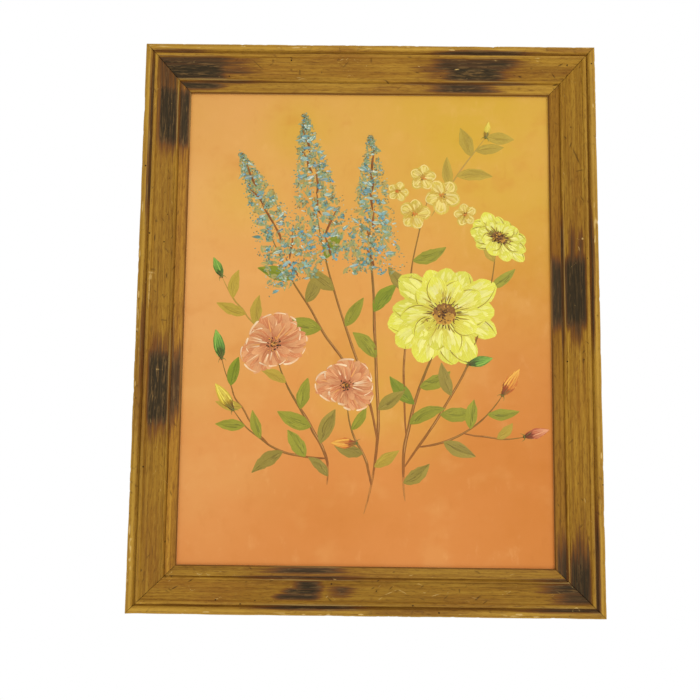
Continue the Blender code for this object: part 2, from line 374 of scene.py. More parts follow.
# %% [markdown]
# ## Wear cut into the wood
#
# The wear is real relief, so it shows at the frame's outline and in raking light. It is added up as a
# depth below the clean moulding: long brushed grooves that follow the grain, lumps along the bead, knife
# cuts across it, small dents, and a few chips that bare the pale wood. Most marks are scattered at
# random, and those that catch the eye are placed one by one. Everything cuts inward, so the worn frame
# stays inside the clean one. Smooth random values come from a small noise function, seeded for each rail.

# %% Noise
RAIL_SEEDS = {"top": 3, "bottom": 17, "left": 29, "right": 41}


def lattice_value(i, j, seed):
    """A repeatable random value from 0 to 1 for each whole-numbered place."""
    return np.modf(np.abs(np.sin(i * 127.1 + j * 311.7 + seed * 74.7) * 43758.5453))[0]


def smooth_noise(a, b, seed):
    """Smooth values from 0 to 1 at places (a, b), about one bump for each unit."""
    a, b = np.broadcast_arrays(a, b)
    i, j = np.floor(a), np.floor(b)
    u, v = a - i, b - j
    u, v = u * u * (3 - 2 * u), v * v * (3 - 2 * v)
    near = lattice_value(i, j, seed) * (1 - u) + lattice_value(i + 1, j, seed) * u
    far = lattice_value(i, j + 1, seed) * (1 - u) + lattice_value(i + 1, j + 1, seed) * u
    return near * (1 - v) + far * v


samples = [round(float(smooth_noise(0.5, 0.5, seed)), 2) for seed in RAIL_SEEDS.values()]
print("noise at one place on the four rails:", samples)

# %% Grain, lumps and ridges
# The right rail charred smoother than the others.
RIDGES_STAND = {"top": 1.0, "left": 1.0, "right": 0.45, "bottom": 1.0}


def grain_relief(along, girth, seed):
    """Depth in millimetres of the brushed grooves, at places in millimetres."""
    broad = smooth_noise(along / 60, girth / 2.3, seed)
    narrow = smooth_noise(along / 26, girth / 1.1, seed + 1)
    groove = np.clip(smooth_noise(along / 34, girth / 1.5, seed + 2) - 0.74, 0, 1) * 1.1
    return 0.07 * broad + 0.10 * narrow + groove


def bead_wear(along, inward, seed):
    """Depth in millimetres of the lumps along the bead."""
    on_bead = window(inward, -1, 6, 2)
    lumps = np.clip(smooth_noise(along / 22, inward / 9, seed + 5) - 0.45, 0, 1) * 0.5
    nicks = np.clip(smooth_noise(along / 5.5, inward / 3, seed + 6) - 0.72, 0, 1) * 1.2
    return on_bead * (lumps + nicks)


def rubbed_edge(along, inward, seed):
    """Where the bead's crest is rubbed through its stain, from 0 to 1."""
    patches = np.clip(smooth_noise(along / 26, inward / 6, seed + 7) * 2.6 - 1.0, 0, 1)
    specks = np.clip(smooth_noise(along / 3.6, inward / 1.3, seed + 8) * 3.0 - 1.2, 0, 1)
    return 0.68 * window(inward, 0.2, 4.4, 0.9) * patches * specks


def burnt_ridges(side, along, girth, seed):
    """The hard grain lines that stay up where the soft wood between them burnt away, from 0 to 1."""
    hard_grain = smooth_noise(along / 17, girth / 1.15, seed + 9)
    return RIDGES_STAND[side] * np.clip(hard_grain * 2.2 - 0.7, 0, 1)


one_line = grain_relief(np.arange(400.0), 5.0, RAIL_SEEDS["top"])
print("brushed grooves along one line are", one_line.max().round(2), "mm deep at most")

# %% Scuffs and knife cuts
KNIFE_CUTS = 24
SCUFFS = {"top": 44, "left": 30, "right": 40, "bottom": 90}


def scuffs(along, inward, seed, half_length, count):
    """Pale bent scratches, most of them across the grain, from 0 to 1."""
    random = np.random.default_rng(seed + 80)
    pale = np.zeros(np.broadcast(along, inward).shape)
    for _ in range(count):
        place = random.uniform(-half_length, half_length)
        level = random.uniform(8, 37)
        length = random.uniform(1.2, 6.0)
        slant = random.uniform(-1.3, 1.3)
        bend = random.uniform(-0.3, 0.3)
        run = along - place
        aside = np.abs(inward - level - slant * run - bend * run ** 2)
        line = np.clip(1.3 - aside / 0.5, 0, 1) * np.clip(1 - (run / length) ** 2, 0, 1)
        pale = np.maximum(pale, line * random.uniform(0.46, 0.82))
    return pale


def knife_cuts(along, inward, seed, half_length):
    """Depth in millimetres of narrow cuts across the bead and the fillet."""
    random = np.random.default_rng(seed)
    depth = np.zeros(np.broadcast(along, inward).shape)
    for _ in range(KNIFE_CUTS):
        place = random.uniform(-half_length, half_length)
        slant = random.uniform(-0.8, 0.8)
        start = random.uniform(0.5, 4.5)
        across = window(inward, start, start + random.uniform(0.5, 3.0), 1.2)
        line = place + slant * inward
        profile = window(along, line, line, random.uniform(0.9, 1.2))
        depth = np.maximum(depth, across * profile * random.uniform(0.2, 0.7))
    return depth


print("on each rail", KNIFE_CUTS, "knife cuts; scuffs:", SCUFFS)

# %% Dents
DENTS = 34
# Each single dent: its place along and inward, half length, half width, and how far it slants inward per
# mm along.
SINGLE_DENTS = {
    "top": [
        (-121, 13.6, 0.9, 0.9, 0.0), (-107, 17.2, 5.5, 0.5, 0.71), (-92, 14.5, 0.6, 2.0, 0.0),
        (-75, 20.9, 0.9, 0.7, 0.0), (-67, 22.6, 0.6, 2.2, 0.0), (-46, 22.6, 0.8, 0.8, 0.0),
        (-23, 16.7, 3.2, 0.5, -0.8), (1, 13.6, 0.6, 2.6, 0.0),
    ],
    "left": [
        (92, 14.8, 1.0, 1.0, 0.0), (76, 13.9, 3.0, 0.5, 0.0), (66, 23.8, 2.2, 0.6, -1.0),
        (46, 13.4, 0.6, 3.0, 0.0), (26, 15.7, 1.2, 0.6, -0.8), (22, 22.7, 1.0, 0.7, -0.8),
        (0, 23.4, 0.7, 2.4, 0.0), (-9, 13.5, 3.4, 0.4, 0.0),
    ],
    "right": [
        (158, 17.5, 9.0, 0.6, 0.32), (144, 15.2, 0.6, 3.0, 0.0), (188, 21.6, 1.0, 0.8, 0.0),
    ],
    "bottom": [
        (51, 24.6, 1.6, 0.6, 0.6), (84, 21.6, 0.6, 1.6, 0.0),
    ],
}
SINGLE_DEPTH = 0.24


def oval(along, inward, row, fullness):
    """A soft oval mark, from 0 to 1, at a place and level, with a half length, a half width and a slant."""
    place, level, length, width, slant = row
    run = along - place
    return np.clip(fullness - (run / length) ** 2 - ((inward - level - slant * run) / width) ** 2, 0, 1)


def dents(side, along, inward, seed, half_length):
    """Depth in millimetres of small dents and scrapes on the panel: scattered ones, then the single ones."""
    random = np.random.default_rng(seed + 40)
    depth = np.zeros(np.broadcast(along, inward).shape)
    lowest = (-half_length, 9, 0.9, 0.4, -0.9)
    highest = (half_length, 38, 3.6, 0.7, 0.9)
    for _ in range(DENTS):
        row = [random.uniform(low, high) for low, high in zip(lowest, highest)]
        depth = np.maximum(depth, oval(along, inward, row, 1.0) * random.uniform(0.15, 0.45))
    for row in SINGLE_DENTS[side]:
        depth = np.maximum(depth, oval(along, inward, row, 1.3) * SINGLE_DEPTH)
    return depth


single_dents = {side: len(rows) for side, rows in SINGLE_DENTS.items()}
print("on each rail", DENTS, "scattered dents; single ones:", single_dents)

# %% [markdown]
# Chips and scrapes are the places where the stained skin of the wood is gone and the pale wood shows.
# They are few, so each one is listed: along the rail and inward, with its half length and half
# width, its depth, and how far it slants inward for each millimetre along.

# %% Chips and scrapes
# Each row: along, inward, half length, half width, depth, slant.
CHIPS = {
    "top": [
        (-70, 3.6, 5.5, 0.9, 0.5, -0.04), (-62, 3.1, 3.0, 0.7, 0.4, 0.10),
        (77, 4.6, 4.0, 0.8, 0.5, 0.05), (36, 1.2, 2.6, 0.9, 0.6, 0.0), (-120, 2.6, 3.2, 0.6, 0.4, 0.1),
        (-26, 20, 3.2, 0.5, 0.15, 1.1), (-20, 21, 2.6, 0.4, 0.15, -0.9), (8, 15, 3.0, 0.5, 0.12, 0.3),
        (150, 22, 3.4, 0.4, 0.15, 0.8),
    ],
    "left": [
        (43, 12.6, 1.1, 4.2, 0.2, 0.0), (39, 11.8, 4.4, 1.2, 0.2, 0.0),
        (26, 11.0, 19.0, 0.8, 0.16, 0.0), (60, 1.5, 5.0, 0.9, 0.6, 0.0), (104, 2.6, 7.0, 0.7, 0.3, 0.0),
        (-190, 2.0, 6.0, 0.9, 0.6, 0.0), (-60, 1.8, 4.0, 0.8, 0.5, 0.0),
        (-140, 20.0, 4.0, 0.4, 0.15, 0.7), (22, 2.0, 5.0, 0.8, 0.4, 0.0),
        (-46, 20.0, 1.0, 10.0, 0.12, 0.0), (-117, 20.5, 0.9, 8.0, 0.1, 0.0),
    ],
    "right": [
        (79, 14.1, 1.2, 1.0, 0.4, 0.0), (-120, 2.2, 4.0, 0.9, 0.5, 0.0), (205, 3.0, 3.2, 0.8, 0.5, 0.0),
        (-58, 20.0, 4.6, 0.4, 0.15, 0.5), (150, 18.0, 3.8, 0.4, 0.15, -0.6),
        (-160, 16.0, 5.0, 0.4, 0.15, 0.2),
    ],
    "bottom": [
        (-4, 2.0, 3.0, 1.0, 0.5, 0.0), (22, 19.5, 7.5, 0.5, 0.2, 0.35), (34, 20.0, 5.5, 0.5, 0.2, -0.5),
        (62, 18.0, 6.0, 0.5, 0.2, 0.25), (98, 16.0, 7.0, 0.5, 0.2, -0.2),
        (128, 21.0, 5.0, 0.4, 0.2, 0.5), (-140, 2.6, 4.0, 0.8, 0.4, 0.0),
        (150, 1.6, 4.4, 0.8, 0.5, 0.0),
    ],
}
# Depths in millimetres, and how strongly a chip that deep shows bare wood.
SHOWS_BARE = ((0.1, 0.3), (0.44, 1.0))


def chips(side, along, inward):
    """The chips as a soft spot from 0 to 1, and as a depth in millimetres."""
    bare = np.zeros(np.broadcast(along, inward).shape)
    depth = bare.copy()
    for place, level, length, width, deep, slant in CHIPS[side]:
        chip = oval(along, inward, (place, level, length, width, slant), 1.2)
        bare = np.maximum(bare, chip * np.interp(deep, *SHOWS_BARE))
        depth = np.maximum(depth, chip * deep)
    return bare, depth


print("chips:", sum(len(rows) for rows in CHIPS.values()))

# %% [markdown]
# ## The worn rails
#
# Each rail is a grid: the fine outline repeated at stations along its length. Between the two mitres the
# stations are square to the rail, and towards each end they lean over step by step until the last one
# lies in the mitre. The mitred faces stay a hair apart, as on the clean rails, so each joint shows as a
# fine dark line. The mesh carries what the material needs at each point: the place in the wood, how
# scorched, proud, bare or marked it is, whether the stain reached it, how much extra stain and painted
# shade it took and how red it is.

# %% Stations along a rail
STATION_STEP = 0.95 * MM
MITRE_SETBACK = 0.3 * MM / math.sqrt(2)
END_STATIONS = 34
WEAR_FADE = 4.0 * MM
STAIN_EDGE = 4.0 * MM
BURN_DEPTH = 0.34
DARK_DENT = 0.3
DARK_CUT = 0.9
RAIL_SHARP_FROM = math.radians(50)
# The extra stain that each rail took, which also paints shade on the rails and lips turned from the
# light: on its panel as places along it with the share there, then on its lip, and how red the lip is.
STAIN_AND_SHADE_TAKEN = {
    "top": (((-120, 0.14), (-90, 0.0), (20, 0.0), (60, 0.14), (180, 0.12)), 0.06, 0.0),
    "bottom": (((-180, -0.06), (-140, 0.04), (-90, 0.30), (-30, 0.48), (30, 0.56), (80, 0.46)), 0.30, 0.0),
    "left": (((-210, 0.20), (-150, 0.32), (-90, 0.40), (30, 0.30), (70, 0.22), (150, 0.12)), 0.0, 0.36),
    "right": (((-200, 0.10), (-130, 0.04), (-30, 0.04), (80, 0.18), (190, 0.08)), 0.50, 0.34),
}
# Each rail: its half length, how far out it lies, and the directions along it and outward.
SIDES = {
    "top": (HALF_WIDTH, HALF_HEIGHT, (1, 0), (0, 1)),
    "bottom": (HALF_WIDTH, HALF_HEIGHT, (1, 0), (0, -1)),
    "left": (HALF_HEIGHT, HALF_WIDTH, (0, 1), (-1, 0)),
    "right": (HALF_HEIGHT, HALF_WIDTH, (0, 1), (1, 0)),
}


def station_places(half_length):
    """Along-rail places of every station at every outline point, with mitred ends."""
    square = half_length - RAIL_WIDTH - 2 * MM
    middle = np.linspace(-square, square, math.ceil(2 * square / STATION_STEP) + 1)
    ends = half_length - OUTLINE[:, 0] - MITRE_SETBACK
    lean = (np.arange(1, END_STATIONS + 1) / END_STATIONS)[:, None]
    right = square + lean * (ends - square)[None, :]
    flat = np.repeat(middle[:, None], len(OUTLINE), axis=1)
    return np.concatenate([-right[::-1], flat, right])


print("stations on a long rail:", len(station_places(HALF_HEIGHT)))

# %% Meshes with values
def set_points(mesh, name, kind, values):
    """Stores a value at each point of a mesh, for its material."""
    layer = mesh.attributes.new(name, kind, "POINT")
    field = {"FLOAT": "value", "FLOAT_VECTOR": "vector", "FLOAT_COLOR": "color"}[kind]
    layer.data.foreach_set(field, np.ascontiguousarray(values, np.float32).ravel())


def add_piece(name, mesh, material):
    """Makes a mesh a named piece of the object: it gets its material and its body."""
    mesh.materials.append(material)
    piece = bpy.data.objects.new(name, mesh)
    bpy.context.scene.collection.objects.link(piece)
    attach(piece, "root")
    return piece


def grid_faces(rows, columns):
    """Quads of a grid whose columns close on themselves."""
    row = np.arange(rows - 1)[:, None] * columns
    here = np.arange(columns)[None, :]
    after = (here + 1) % columns
    quads = np.stack([row + here, row + after, row + columns + after, row + columns + here], axis=2)
    return quads.reshape(-1, 4).tolist()


def rail_mesh(name, points, flipped):
    """A closed mesh from a grid of points whose rows go round the rail."""
    rows, columns = points.shape[:2]
    faces = grid_faces(rows, columns)
    faces.append(list(range(columns))[::-1])
    faces.append(list(range((rows - 1) * columns, rows * columns)))
    mesh = bpy.data.meshes.new(name)
    mesh.from_pydata(points.reshape(-1, 3), [], faces)
    if flipped:
        mesh.flip_normals()
    mesh.shade_smooth()
    mesh.set_sharp_from_angle(angle=RAIL_SHARP_FROM)
    return mesh


print("faces of a grid of 3 rows and 4 columns:", len(grid_faces(3, 4)))

# %% Building a rail
def rail_wear(side, seed, along, inward, girth, half_length):
    """All the wear of a rail, at places in millimetres: its depth in millimetres, and shares from 0 to 1."""
    bare, chip_depth = chips(side, along, inward)
    on_bead = np.clip(1.6 - OUTLINE[:, 1] / (2 * BEAD_RISE), 0, 1)[None, :]
    cuts = knife_cuts(along, inward, seed, half_length)
    marks = dents(side, along, inward, seed, half_length)
    scorch = scorched(side, along, inward)
    ridges = burnt_ridges(side, along, girth, seed)
    depth = grain_relief(along, girth, seed) + bead_wear(along, inward, seed) * on_bead
    depth += BURN_DEPTH * np.clip(scorch, 0, 1) * (1 - ridges)
    bare = np.maximum(bare, scuffs(along, inward, seed, half_length, SCUFFS[side]))
    bare = np.maximum(bare, rubbed_edge(along, inward, seed) * on_bead)
    dark = np.clip(marks / DARK_DENT + cuts / DARK_CUT, 0, 1)
    return depth + cuts + marks + chip_depth, {"bare": bare, "scorch": scorch, "ridge": ridges, "mark": dark}


def rail_stain(side, along, inward):
    """How much stain and painted shade a rail took, how red its lip is and where the stain reached; places
    in mm.
    """
    panel, lip, lip_red = STAIN_AND_SHADE_TAKEN[side]
    panel = np.interp(along, *zip(*panel))
    on_lip = np.clip((inward - LIP_START / MM) / 1.5 + 1, 0, 1)
    on_outer_side = OUTLINE[:, 0] < 0.1 * MM
    on_front = OUTLINE[:, 1] < LIP_BACK - 0.1 * MM
    fading = np.clip((RAIL_DEPTH - OUTLINE[:, 1]) / STAIN_EDGE, 0, 1)
    reached = np.where(on_outer_side, fading, on_front)
    return {"stain_and_shade_taken": panel + (lip - panel) * on_lip, "reddened": lip_red * on_lip, "stain": reached}


def worn_rail(side, seed, material):
    """One rail of the frame, with its wear cut in."""
    half_length, reach, along_way, out_way = SIDES[side]
    along = station_places(half_length)
    inward = np.broadcast_to(OUTLINE[:, 0], along.shape)
    behind = np.broadcast_to(OUTLINE[:, 1], along.shape)
    girth = np.concatenate([[0], np.cumsum(np.linalg.norm(np.diff(OUTLINE, axis=0), axis=1))])[None, :]
    depth, shares = rail_wear(side, seed, along / MM, inward / MM, girth / MM, half_length / MM)
    shown = np.clip((LIP_FOOT + 3 * SIGHT_ROUND - OUTLINE[:, 1]) / WEAR_FADE, 0, 1)[None, :]
    depth = depth * shown * MM

    outward = reach - (inward - OUTWARD[None, :, 0] * depth)
    points = np.empty(along.shape + (3,))
    points[..., 0] = CENTRE.x + along * along_way[0] + outward * out_way[0]
    points[..., 1] = FRONT_Y + (behind - OUTWARD[None, :, 1] * depth)
    points[..., 2] = CENTRE.z + along * along_way[1] + outward * out_way[1]
    mesh = rail_mesh("worn_rail_" + side, points, flipped=side in ("top", "right"))
    set_points(mesh, "wood_place", "FLOAT_VECTOR", np.stack([along + seed, inward, behind], axis=2))
    # Cut marks count as sunk, so the material gives them dirt and painted shade too.
    shares.update(rail_stain(side, along / MM, inward / MM), proud=PROUD - depth / MM * 0.8)
    for name, values in shares.items():
        set_points(mesh, name, "FLOAT", np.broadcast_to(values, along.shape))
    piece = add_piece("worn_rail_" + side, mesh, material)
    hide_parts("rail_" + side)
    deepest = round(depth.max() / MM, 2)
    print(piece.name, len(along), "stations,", len(mesh.polygons), "faces, deepest mark", deepest, "mm")


print("rails to build:", list(SIDES))

# %% [markdown]
# ## Scorched, stained wood
#
# The wood is a pale softwood with a golden brown stain. Its streaks are noise drawn out along the grain,
# a few millimetres wide and many centimetres long, with finer pores between them. What is sunk is darker,
# with dirt and painted shade, and what stands proud is paler, with rubbed stain and a painted highlight.
# The outer edge and a band along the bead carry a painted highlight, the bead's crest is rubbed through
# in patches, and the lip's inner edge has painted shade. Some rails took extra stain, which also paints
# the shade of faces turned from the light. Where the scorch window is strong the wood turns to a brown
# black, in which the hard grain stays a little paler, with a painted sheen, and its rim to a reddish
# brown; its crests stay paler and smoky, partly as a painted highlight. Sparse worm holes, dark dents and
# pale scrapes finish it. Solid noise, looked up by place in the wood and not by a flat map, leaves no
# seams round the rail.

# %% The wood's tones and patterns
WOOD_DARK = tone(124, 84, 24)
WOOD_MIDDLE = tone(164, 120, 35)
# Pale grain, and the rubbed stain with painted highlights on what stands proud.
WOOD_PALE_AND_HIGHLIGHT = tone(189, 148, 55)
# Dark grain, and the dirt with painted shade that fills what is sunk.
WOOD_DEEP_AND_SHADE = tone(100, 60, 16)
WOOD_RED = tone(134, 82, 28)
WOOD_BARE = tone(206, 172, 104)
WOOD_BACK = tone(196, 164, 112)
WOOD_BACK_DARK = tone(170, 134, 84)
WORM_HOLE = tone(48, 28, 10)
# Darkens the rails that took extra stain, also as painted shade.
WOOD_STAIN_AND_SHADE = (0.50, 0.46, 0.38, 1.0)
WOOD_REDDENED = (1.0, 0.72, 0.40, 1.0)
# Crests beside the burns, smoky and paler as a painted highlight.
CREST_SMOKY_HIGHLIGHT = tone(140, 114, 64)
CHAR = tone(76, 53, 30)
CHAR_BLACK = tone(50, 41, 25)
# Paler hard grain in the burns, with a painted sheen.
CHAR_STREAK_AND_SHEEN = tone(128, 98, 56)
CHAR_RIM = tone(104, 60, 27)
# Each pattern: its scales along the grain, across it and into the wood, its detail and its roughness.
WOOD_PATTERNS = {
    "streak": ((8, 420, 420), 5.0, 0.62),
    "broad": ((5, 75, 75), 2.0, 0.5),
    "pores": ((120, 1400, 1400), 2.0, 0.6),
    "fine": ((26, 1000, 1000), 3.0, 0.6),
    "reddish": ((9, 46, 46), 3.0, 0.55),
    "short": ((120, 800, 800), 3.0, 0.65),
}
# Each tint: the pattern that it follows, where that starts and where it is full, its strength and its tone.
STAIN_TINTS = [
    ("broad", 0.40, 0.72, 0.40, WOOD_DARK),
    ("broad", 0.48, 0.26, 0.30, WOOD_PALE_AND_HIGHLIGHT),
    ("reddish", 0.46, 0.70, 0.42, WOOD_RED),
    ("fine", 0.54, 0.74, 0.42, WOOD_DEEP_AND_SHADE),
    ("fine", 0.44, 0.26, 0.34, WOOD_PALE_AND_HIGHLIGHT),
    ("pores", 0.58, 0.70, 0.48, WOOD_DEEP_AND_SHADE),
    ("short", 0.53, 0.66, 0.44, WOOD_DEEP_AND_SHADE),
    ("short", 0.44, 0.32, 0.32, WOOD_PALE_AND_HIGHLIGHT),
]
print("wood:", len(WOOD_PATTERNS), "patterns and", len(STAIN_TINTS), "tints")

# %% Stained, worn and scorched colours
def stained(tree, grain):
    """The golden brown stain, lighter and darker with the grain, with each rail's extra stain and painted
    shade.
    """
    ramp = put(tree, "ValToRGB", {"Fac": grain["streak"]})
    stops = ramp.color_ramp.elements
    stops[0].position, stops[0].color = 0.26, WOOD_DARK
    stops[1].position, stops[1].color = 0.76, WOOD_PALE_AND_HIGHLIGHT
    middle = stops.new(0.48)
    middle.color = WOOD_MIDDLE
    colour = ramp.outputs[0]
    for pattern, low, high, strength, shade in STAIN_TINTS:
        colour = tinted(tree, colour, shade, grain[pattern], low, high, strength)
    # Each rail's extra stain, which also paints shade on the faces turned from the light.
    colour = mix(tree, attribute(tree, "stain_and_shade_taken"), colour, WOOD_STAIN_AND_SHADE, blend="MULTIPLY")
    return mix(tree, attribute(tree, "reddened"), colour, WOOD_REDDENED, blend="MULTIPLY")


def worn(tree, grain, place, proud, colour):
    """Dirt and painted shade in what is sunk, rubbed stain and painted highlights on crests, dark dents and
    cuts.
    """
    # What is sunk gets dirt and painted shade, unevenly along the grain.
    uneven_dirt_and_shade = calc(tree, "MULTIPLY_ADD", grain["broad"], 1.1, 0.02)
    colour = mix(tree, product(tree, soft_step(tree, proud, -0.16, -0.64), uneven_dirt_and_shade), colour, WOOD_DEEP_AND_SHADE)
    # What stands proud gets rubbed stain and a painted highlight.
    colour = tinted(tree, colour, WOOD_PALE_AND_HIGHLIGHT, proud, 0.15, 0.95, 0.40)
    colour = mix(tree, product(tree, attribute(tree, "mark"), 0.70), colour, WORM_HOLE)
    axes = put(tree, "SeparateXYZ", {0: place})
    inward, behind = axes.outputs["Y"], axes.outputs["Z"]
    in_front = soft_step(tree, behind, 8 * MM, 4 * MM)
    # A painted highlight along the outer edge, on the front of the rail.
    arris_highlight = product(tree, soft_step(tree, inward, 2.6 * MM, 0.4 * MM), in_front, 0.60)
    colour = mix(tree, arris_highlight, colour, WOOD_PALE_AND_HIGHLIGHT)
    # A painted highlight in a band along the bead, where the grain is not reddish.
    past_outside = soft_step(tree, inward, 2.2 * MM, 3.6 * MM)
    before_groove = soft_step(tree, inward, 6.2 * MM, 4.8 * MM)
    unreddened = soft_step(tree, grain["reddish"], 0.64, 0.44)
    colour = mix(tree, product(tree, past_outside, before_groove, unreddened, 0.55), colour, WOOD_PALE_AND_HIGHLIGHT)
    # Painted shade at the lip's inner edge, beside the picture.
    return tinted(tree, colour, WOOD_DEEP_AND_SHADE, inward, RAIL_WIDTH - 1.5 * MM, RAIL_WIDTH - 0.3 * MM, 0.75)


def charred(tree, grain, proud, ragged, colour):
    """The burns: reddish rim, brown black middle, paler hard grain and smoky crests, partly painted
    highlights.
    """
    scorch = attribute(tree, "scorch")
    # Crests burn less, partly as a painted highlight.
    crest = soft_step(tree, proud, 0.20, 0.34)
    burnt = calc(tree, "SUBTRACT", calc(tree, "ADD", scorch, ragged), product(tree, crest, 0.55))
    char = mix(tree, soft_step(tree, burnt, 0.75, 1.15), CHAR, CHAR_BLACK)
    # The hard grain in the burns is paler, partly as a painted sheen.
    hard_grain = product(tree, attribute(tree, "ridge"), soft_step(tree, grain["short"], 0.44, 0.62), 0.62)
    char = mix(tree, hard_grain, char, CHAR_STREAK_AND_SHEEN)
    char = tinted(tree, char, CHAR_STREAK_AND_SHEEN, grain["fine"], 0.54, 0.72, 0.40)
    colour = tinted(tree, colour, CHAR_RIM, burnt, 0.14, 0.50, 0.80)
    colour = mix(tree, soft_step(tree, burnt, 0.42, 0.78), colour, char)
    # Crests at the burns' edges turn a smoky pale, partly as a painted highlight.
    smoky_highlight = product(tree, soft_step(tree, proud, 0.04, 0.20), soft_step(tree, scorch, 0.10, 0.38))
    smoky_highlight = product(tree, smoky_highlight, soft_step(tree, burnt, 0.70, 0.40), 0.85)
    return mix(tree, smoky_highlight, colour, CREST_SMOKY_HIGHLIGHT), burnt


print("wood colours ready")

# %% The wood material
WOOD_BUMP = 0.22 * MM


def wood_material():
    """Stained, scorched and worn wood."""
    material, tree, shader = new_material("scorched_wood")
    place = attribute(tree, "wood_place", "Vector")
    proud = attribute(tree, "proud")
    grain = {name: cloud(tree, place, *settings) for name, settings in WOOD_PATTERNS.items()}
    streak = grain["streak"]
    uneven = calc(tree, "SUBTRACT", streak, 0.5)
    ragged = product(tree, uneven, 1.3)
    ragged = calc(tree, "MULTIPLY_ADD", calc(tree, "SUBTRACT", grain["fine"], 0.5), 0.9, ragged)

    colour = worn(tree, grain, place, proud, stained(tree, grain))
    flecks = put(tree, "TexVoronoi", {"Vector": place, "Scale": 66.0, "Randomness": 1.0}, feature="F1")
    hole = soft_step(tree, flecks.outputs["Distance"], 0.058, 0.034)
    colour, burnt = charred(tree, grain, proud, ragged, mix(tree, hole, colour, WORM_HOLE))
    bare = calc(tree, "MULTIPLY_ADD", ragged, 0.9, attribute(tree, "bare"))
    colour = tinted(tree, colour, WOOD_BARE, bare, 0.40, 0.85, 0.85)
    back = mix(tree, soft_step(tree, streak, 0.35, 0.7), WOOD_BACK_DARK, WOOD_BACK)
    reached = soft_step(tree, calc(tree, "ADD", attribute(tree, "stain"), uneven), 0.25, 0.6)
    tree.links.new(mix(tree, reached, back, colour), shader.inputs["Base Color"])

    matte = calc(tree, "MULTIPLY_ADD", soft_step(tree, burnt, 0.5, 0.9), 0.12, 0.50)
    tree.links.new(calc(tree, "MULTIPLY_ADD", streak, 0.16, matte), shader.inputs["Roughness"])
    shader.inputs["Specular IOR Level"].default_value = 0.16
    height = calc(tree, "MULTIPLY_ADD", grain["pores"], 0.35, streak)
    bump(tree, shader, calc(tree, "MULTIPLY_ADD", hole, -2.5, height), WOOD_BUMP)
    return material


scorched_wood = wood_material()
for side, seed in RAIL_SEEDS.items():
    worn_rail(side, seed, scorched_wood)
print("rails dressed:", len(RAIL_SEEDS))

# %% [markdown]
# ## The painted ground
#
# The picture is oil paint on canvas board. Its ground is a thin warm orange, blended from an amber top to
# a redder foot, with the canvas showing faintly through. It needs no mesh of its own: the board keeps its
# exact shape, and its material works from the place on the board. Soft glows and a slow mottling give the
# brushed blending, and a fine crossed wave gives the weave. Away from the front the same material shows
# what the board is made of: canvas turned over its edges on to grey brown card.

# %% The ground's colours
GROUND_HIGH = tone(215, 160, 76)
GROUND_MIDDLE = tone(215, 150, 70)
GROUND_LOW = tone(213, 134, 62)
GROUND_PEACH = tone(221, 158, 88)
GROUND_AMBER = tone(205, 161, 43)
GROUND_RUST = tone(196, 115, 31)
GROUND_PALE = tone(230, 174, 100)
SCRUB_DARK = tone(190, 112, 44)
SCRUB_PALE = tone(236, 184, 112)
# Each glow: its place in millimetres from the picture's middle, its reach in metres, its tone and its
# strength.
GLOWS = [
    ((110, 190), 0.20, GROUND_AMBER, 0.95),
    ((-126, 120), 0.055, GROUND_AMBER, 0.75),
    ((-74, 190), 0.055, GROUND_AMBER, 0.85),
    ((165, 60), 0.12, GROUND_AMBER, 0.70),
    ((-172, 96), 0.12, GROUND_PALE, 0.62),
    ((-150, 210), 0.13, GROUND_PEACH, 0.55),
    ((-150, 10), 0.11, GROUND_PEACH, 0.65),
    ((-150, -130), 0.12, GROUND_PEACH, 0.45),
    ((165, -120), 0.19, GROUND_RUST, 0.80),
    ((150, 20), 0.12, GROUND_RUST, 0.45),
    ((20, -60), 0.09, GROUND_AMBER, 0.45),
    ((-40, -190), 0.12, GROUND_RUST, 0.35),
]


def on_picture(x, z):
    """The place of a point given in millimetres from the picture's middle."""
    return (CENTRE.x + x * MM, BOARD_Y, CENTRE.z + z * MM)


def glow(tree, place, middle, reach):
    """1 at a point, fading smoothly to 0 at a distance."""
    away = put(tree, "VectorMath", {0: place, 1: middle}, operation="DISTANCE").outputs["Value"]
    return soft_step(tree, away, reach, 0.0)


def ground_colour(tree, place, height, scrub):
    """The blended ground: paler with height, with glows, smudges and the marks of a scrubbing brush."""
    slow = cloud(tree, place, (9, 9, 13), 4.0, 0.6)
    rise = calc(tree, "MULTIPLY_ADD", calc(tree, "SUBTRACT", slow, 0.5), 0.22, height)
    above_foot = soft_step(tree, rise, on_picture(0, -190)[2], on_picture(0, 10)[2])
    near_top = soft_step(tree, rise, on_picture(0, 20)[2], on_picture(0, 210)[2])
    colour = mix(tree, near_top, mix(tree, above_foot, GROUND_LOW, GROUND_MIDDLE), GROUND_HIGH)
    for middle, reach, shade, strength in GLOWS:
        share = glow(tree, place, on_picture(*middle), reach)
        patchy = product(tree, share, calc(tree, "MULTIPLY_ADD", slow, 1.4, strength - 0.7))
        colour = mix(tree, patchy, colour, shade)
    smudges = cloud(tree, place, (24, 24, 30), 3.0, 0.55)
    colour = tinted(tree, colour, GROUND_RUST, smudges, 0.54, 0.74, 0.24)
    colour = tinted(tree, colour, GROUND_PALE, smudges, 0.46, 0.26, 0.15)
    colour = tinted(tree, colour, SCRUB_DARK, scrub, 0.56, 0.78, 0.20)
    return tinted(tree, colour, SCRUB_PALE, scrub, 0.42, 0.24, 0.16)


print("ground:", len(GLOWS), "glows")

# %% The canvas board
CANVAS_RAW = tone(206, 196, 172)
CANVAS_SHADE = tone(188, 176, 150)
CARD_BACK = tone(150, 132, 106)
CARD_FIBRE = tone(132, 114, 88)
THREADS_PER_METRE = 1500.0
TURNED_CANVAS = 14.0 * MM
RAGGED_EDGE = 3.0 * MM
FRONT_SKIN = 0.15 * MM
WEAVE_BUMP = 0.05 * MM


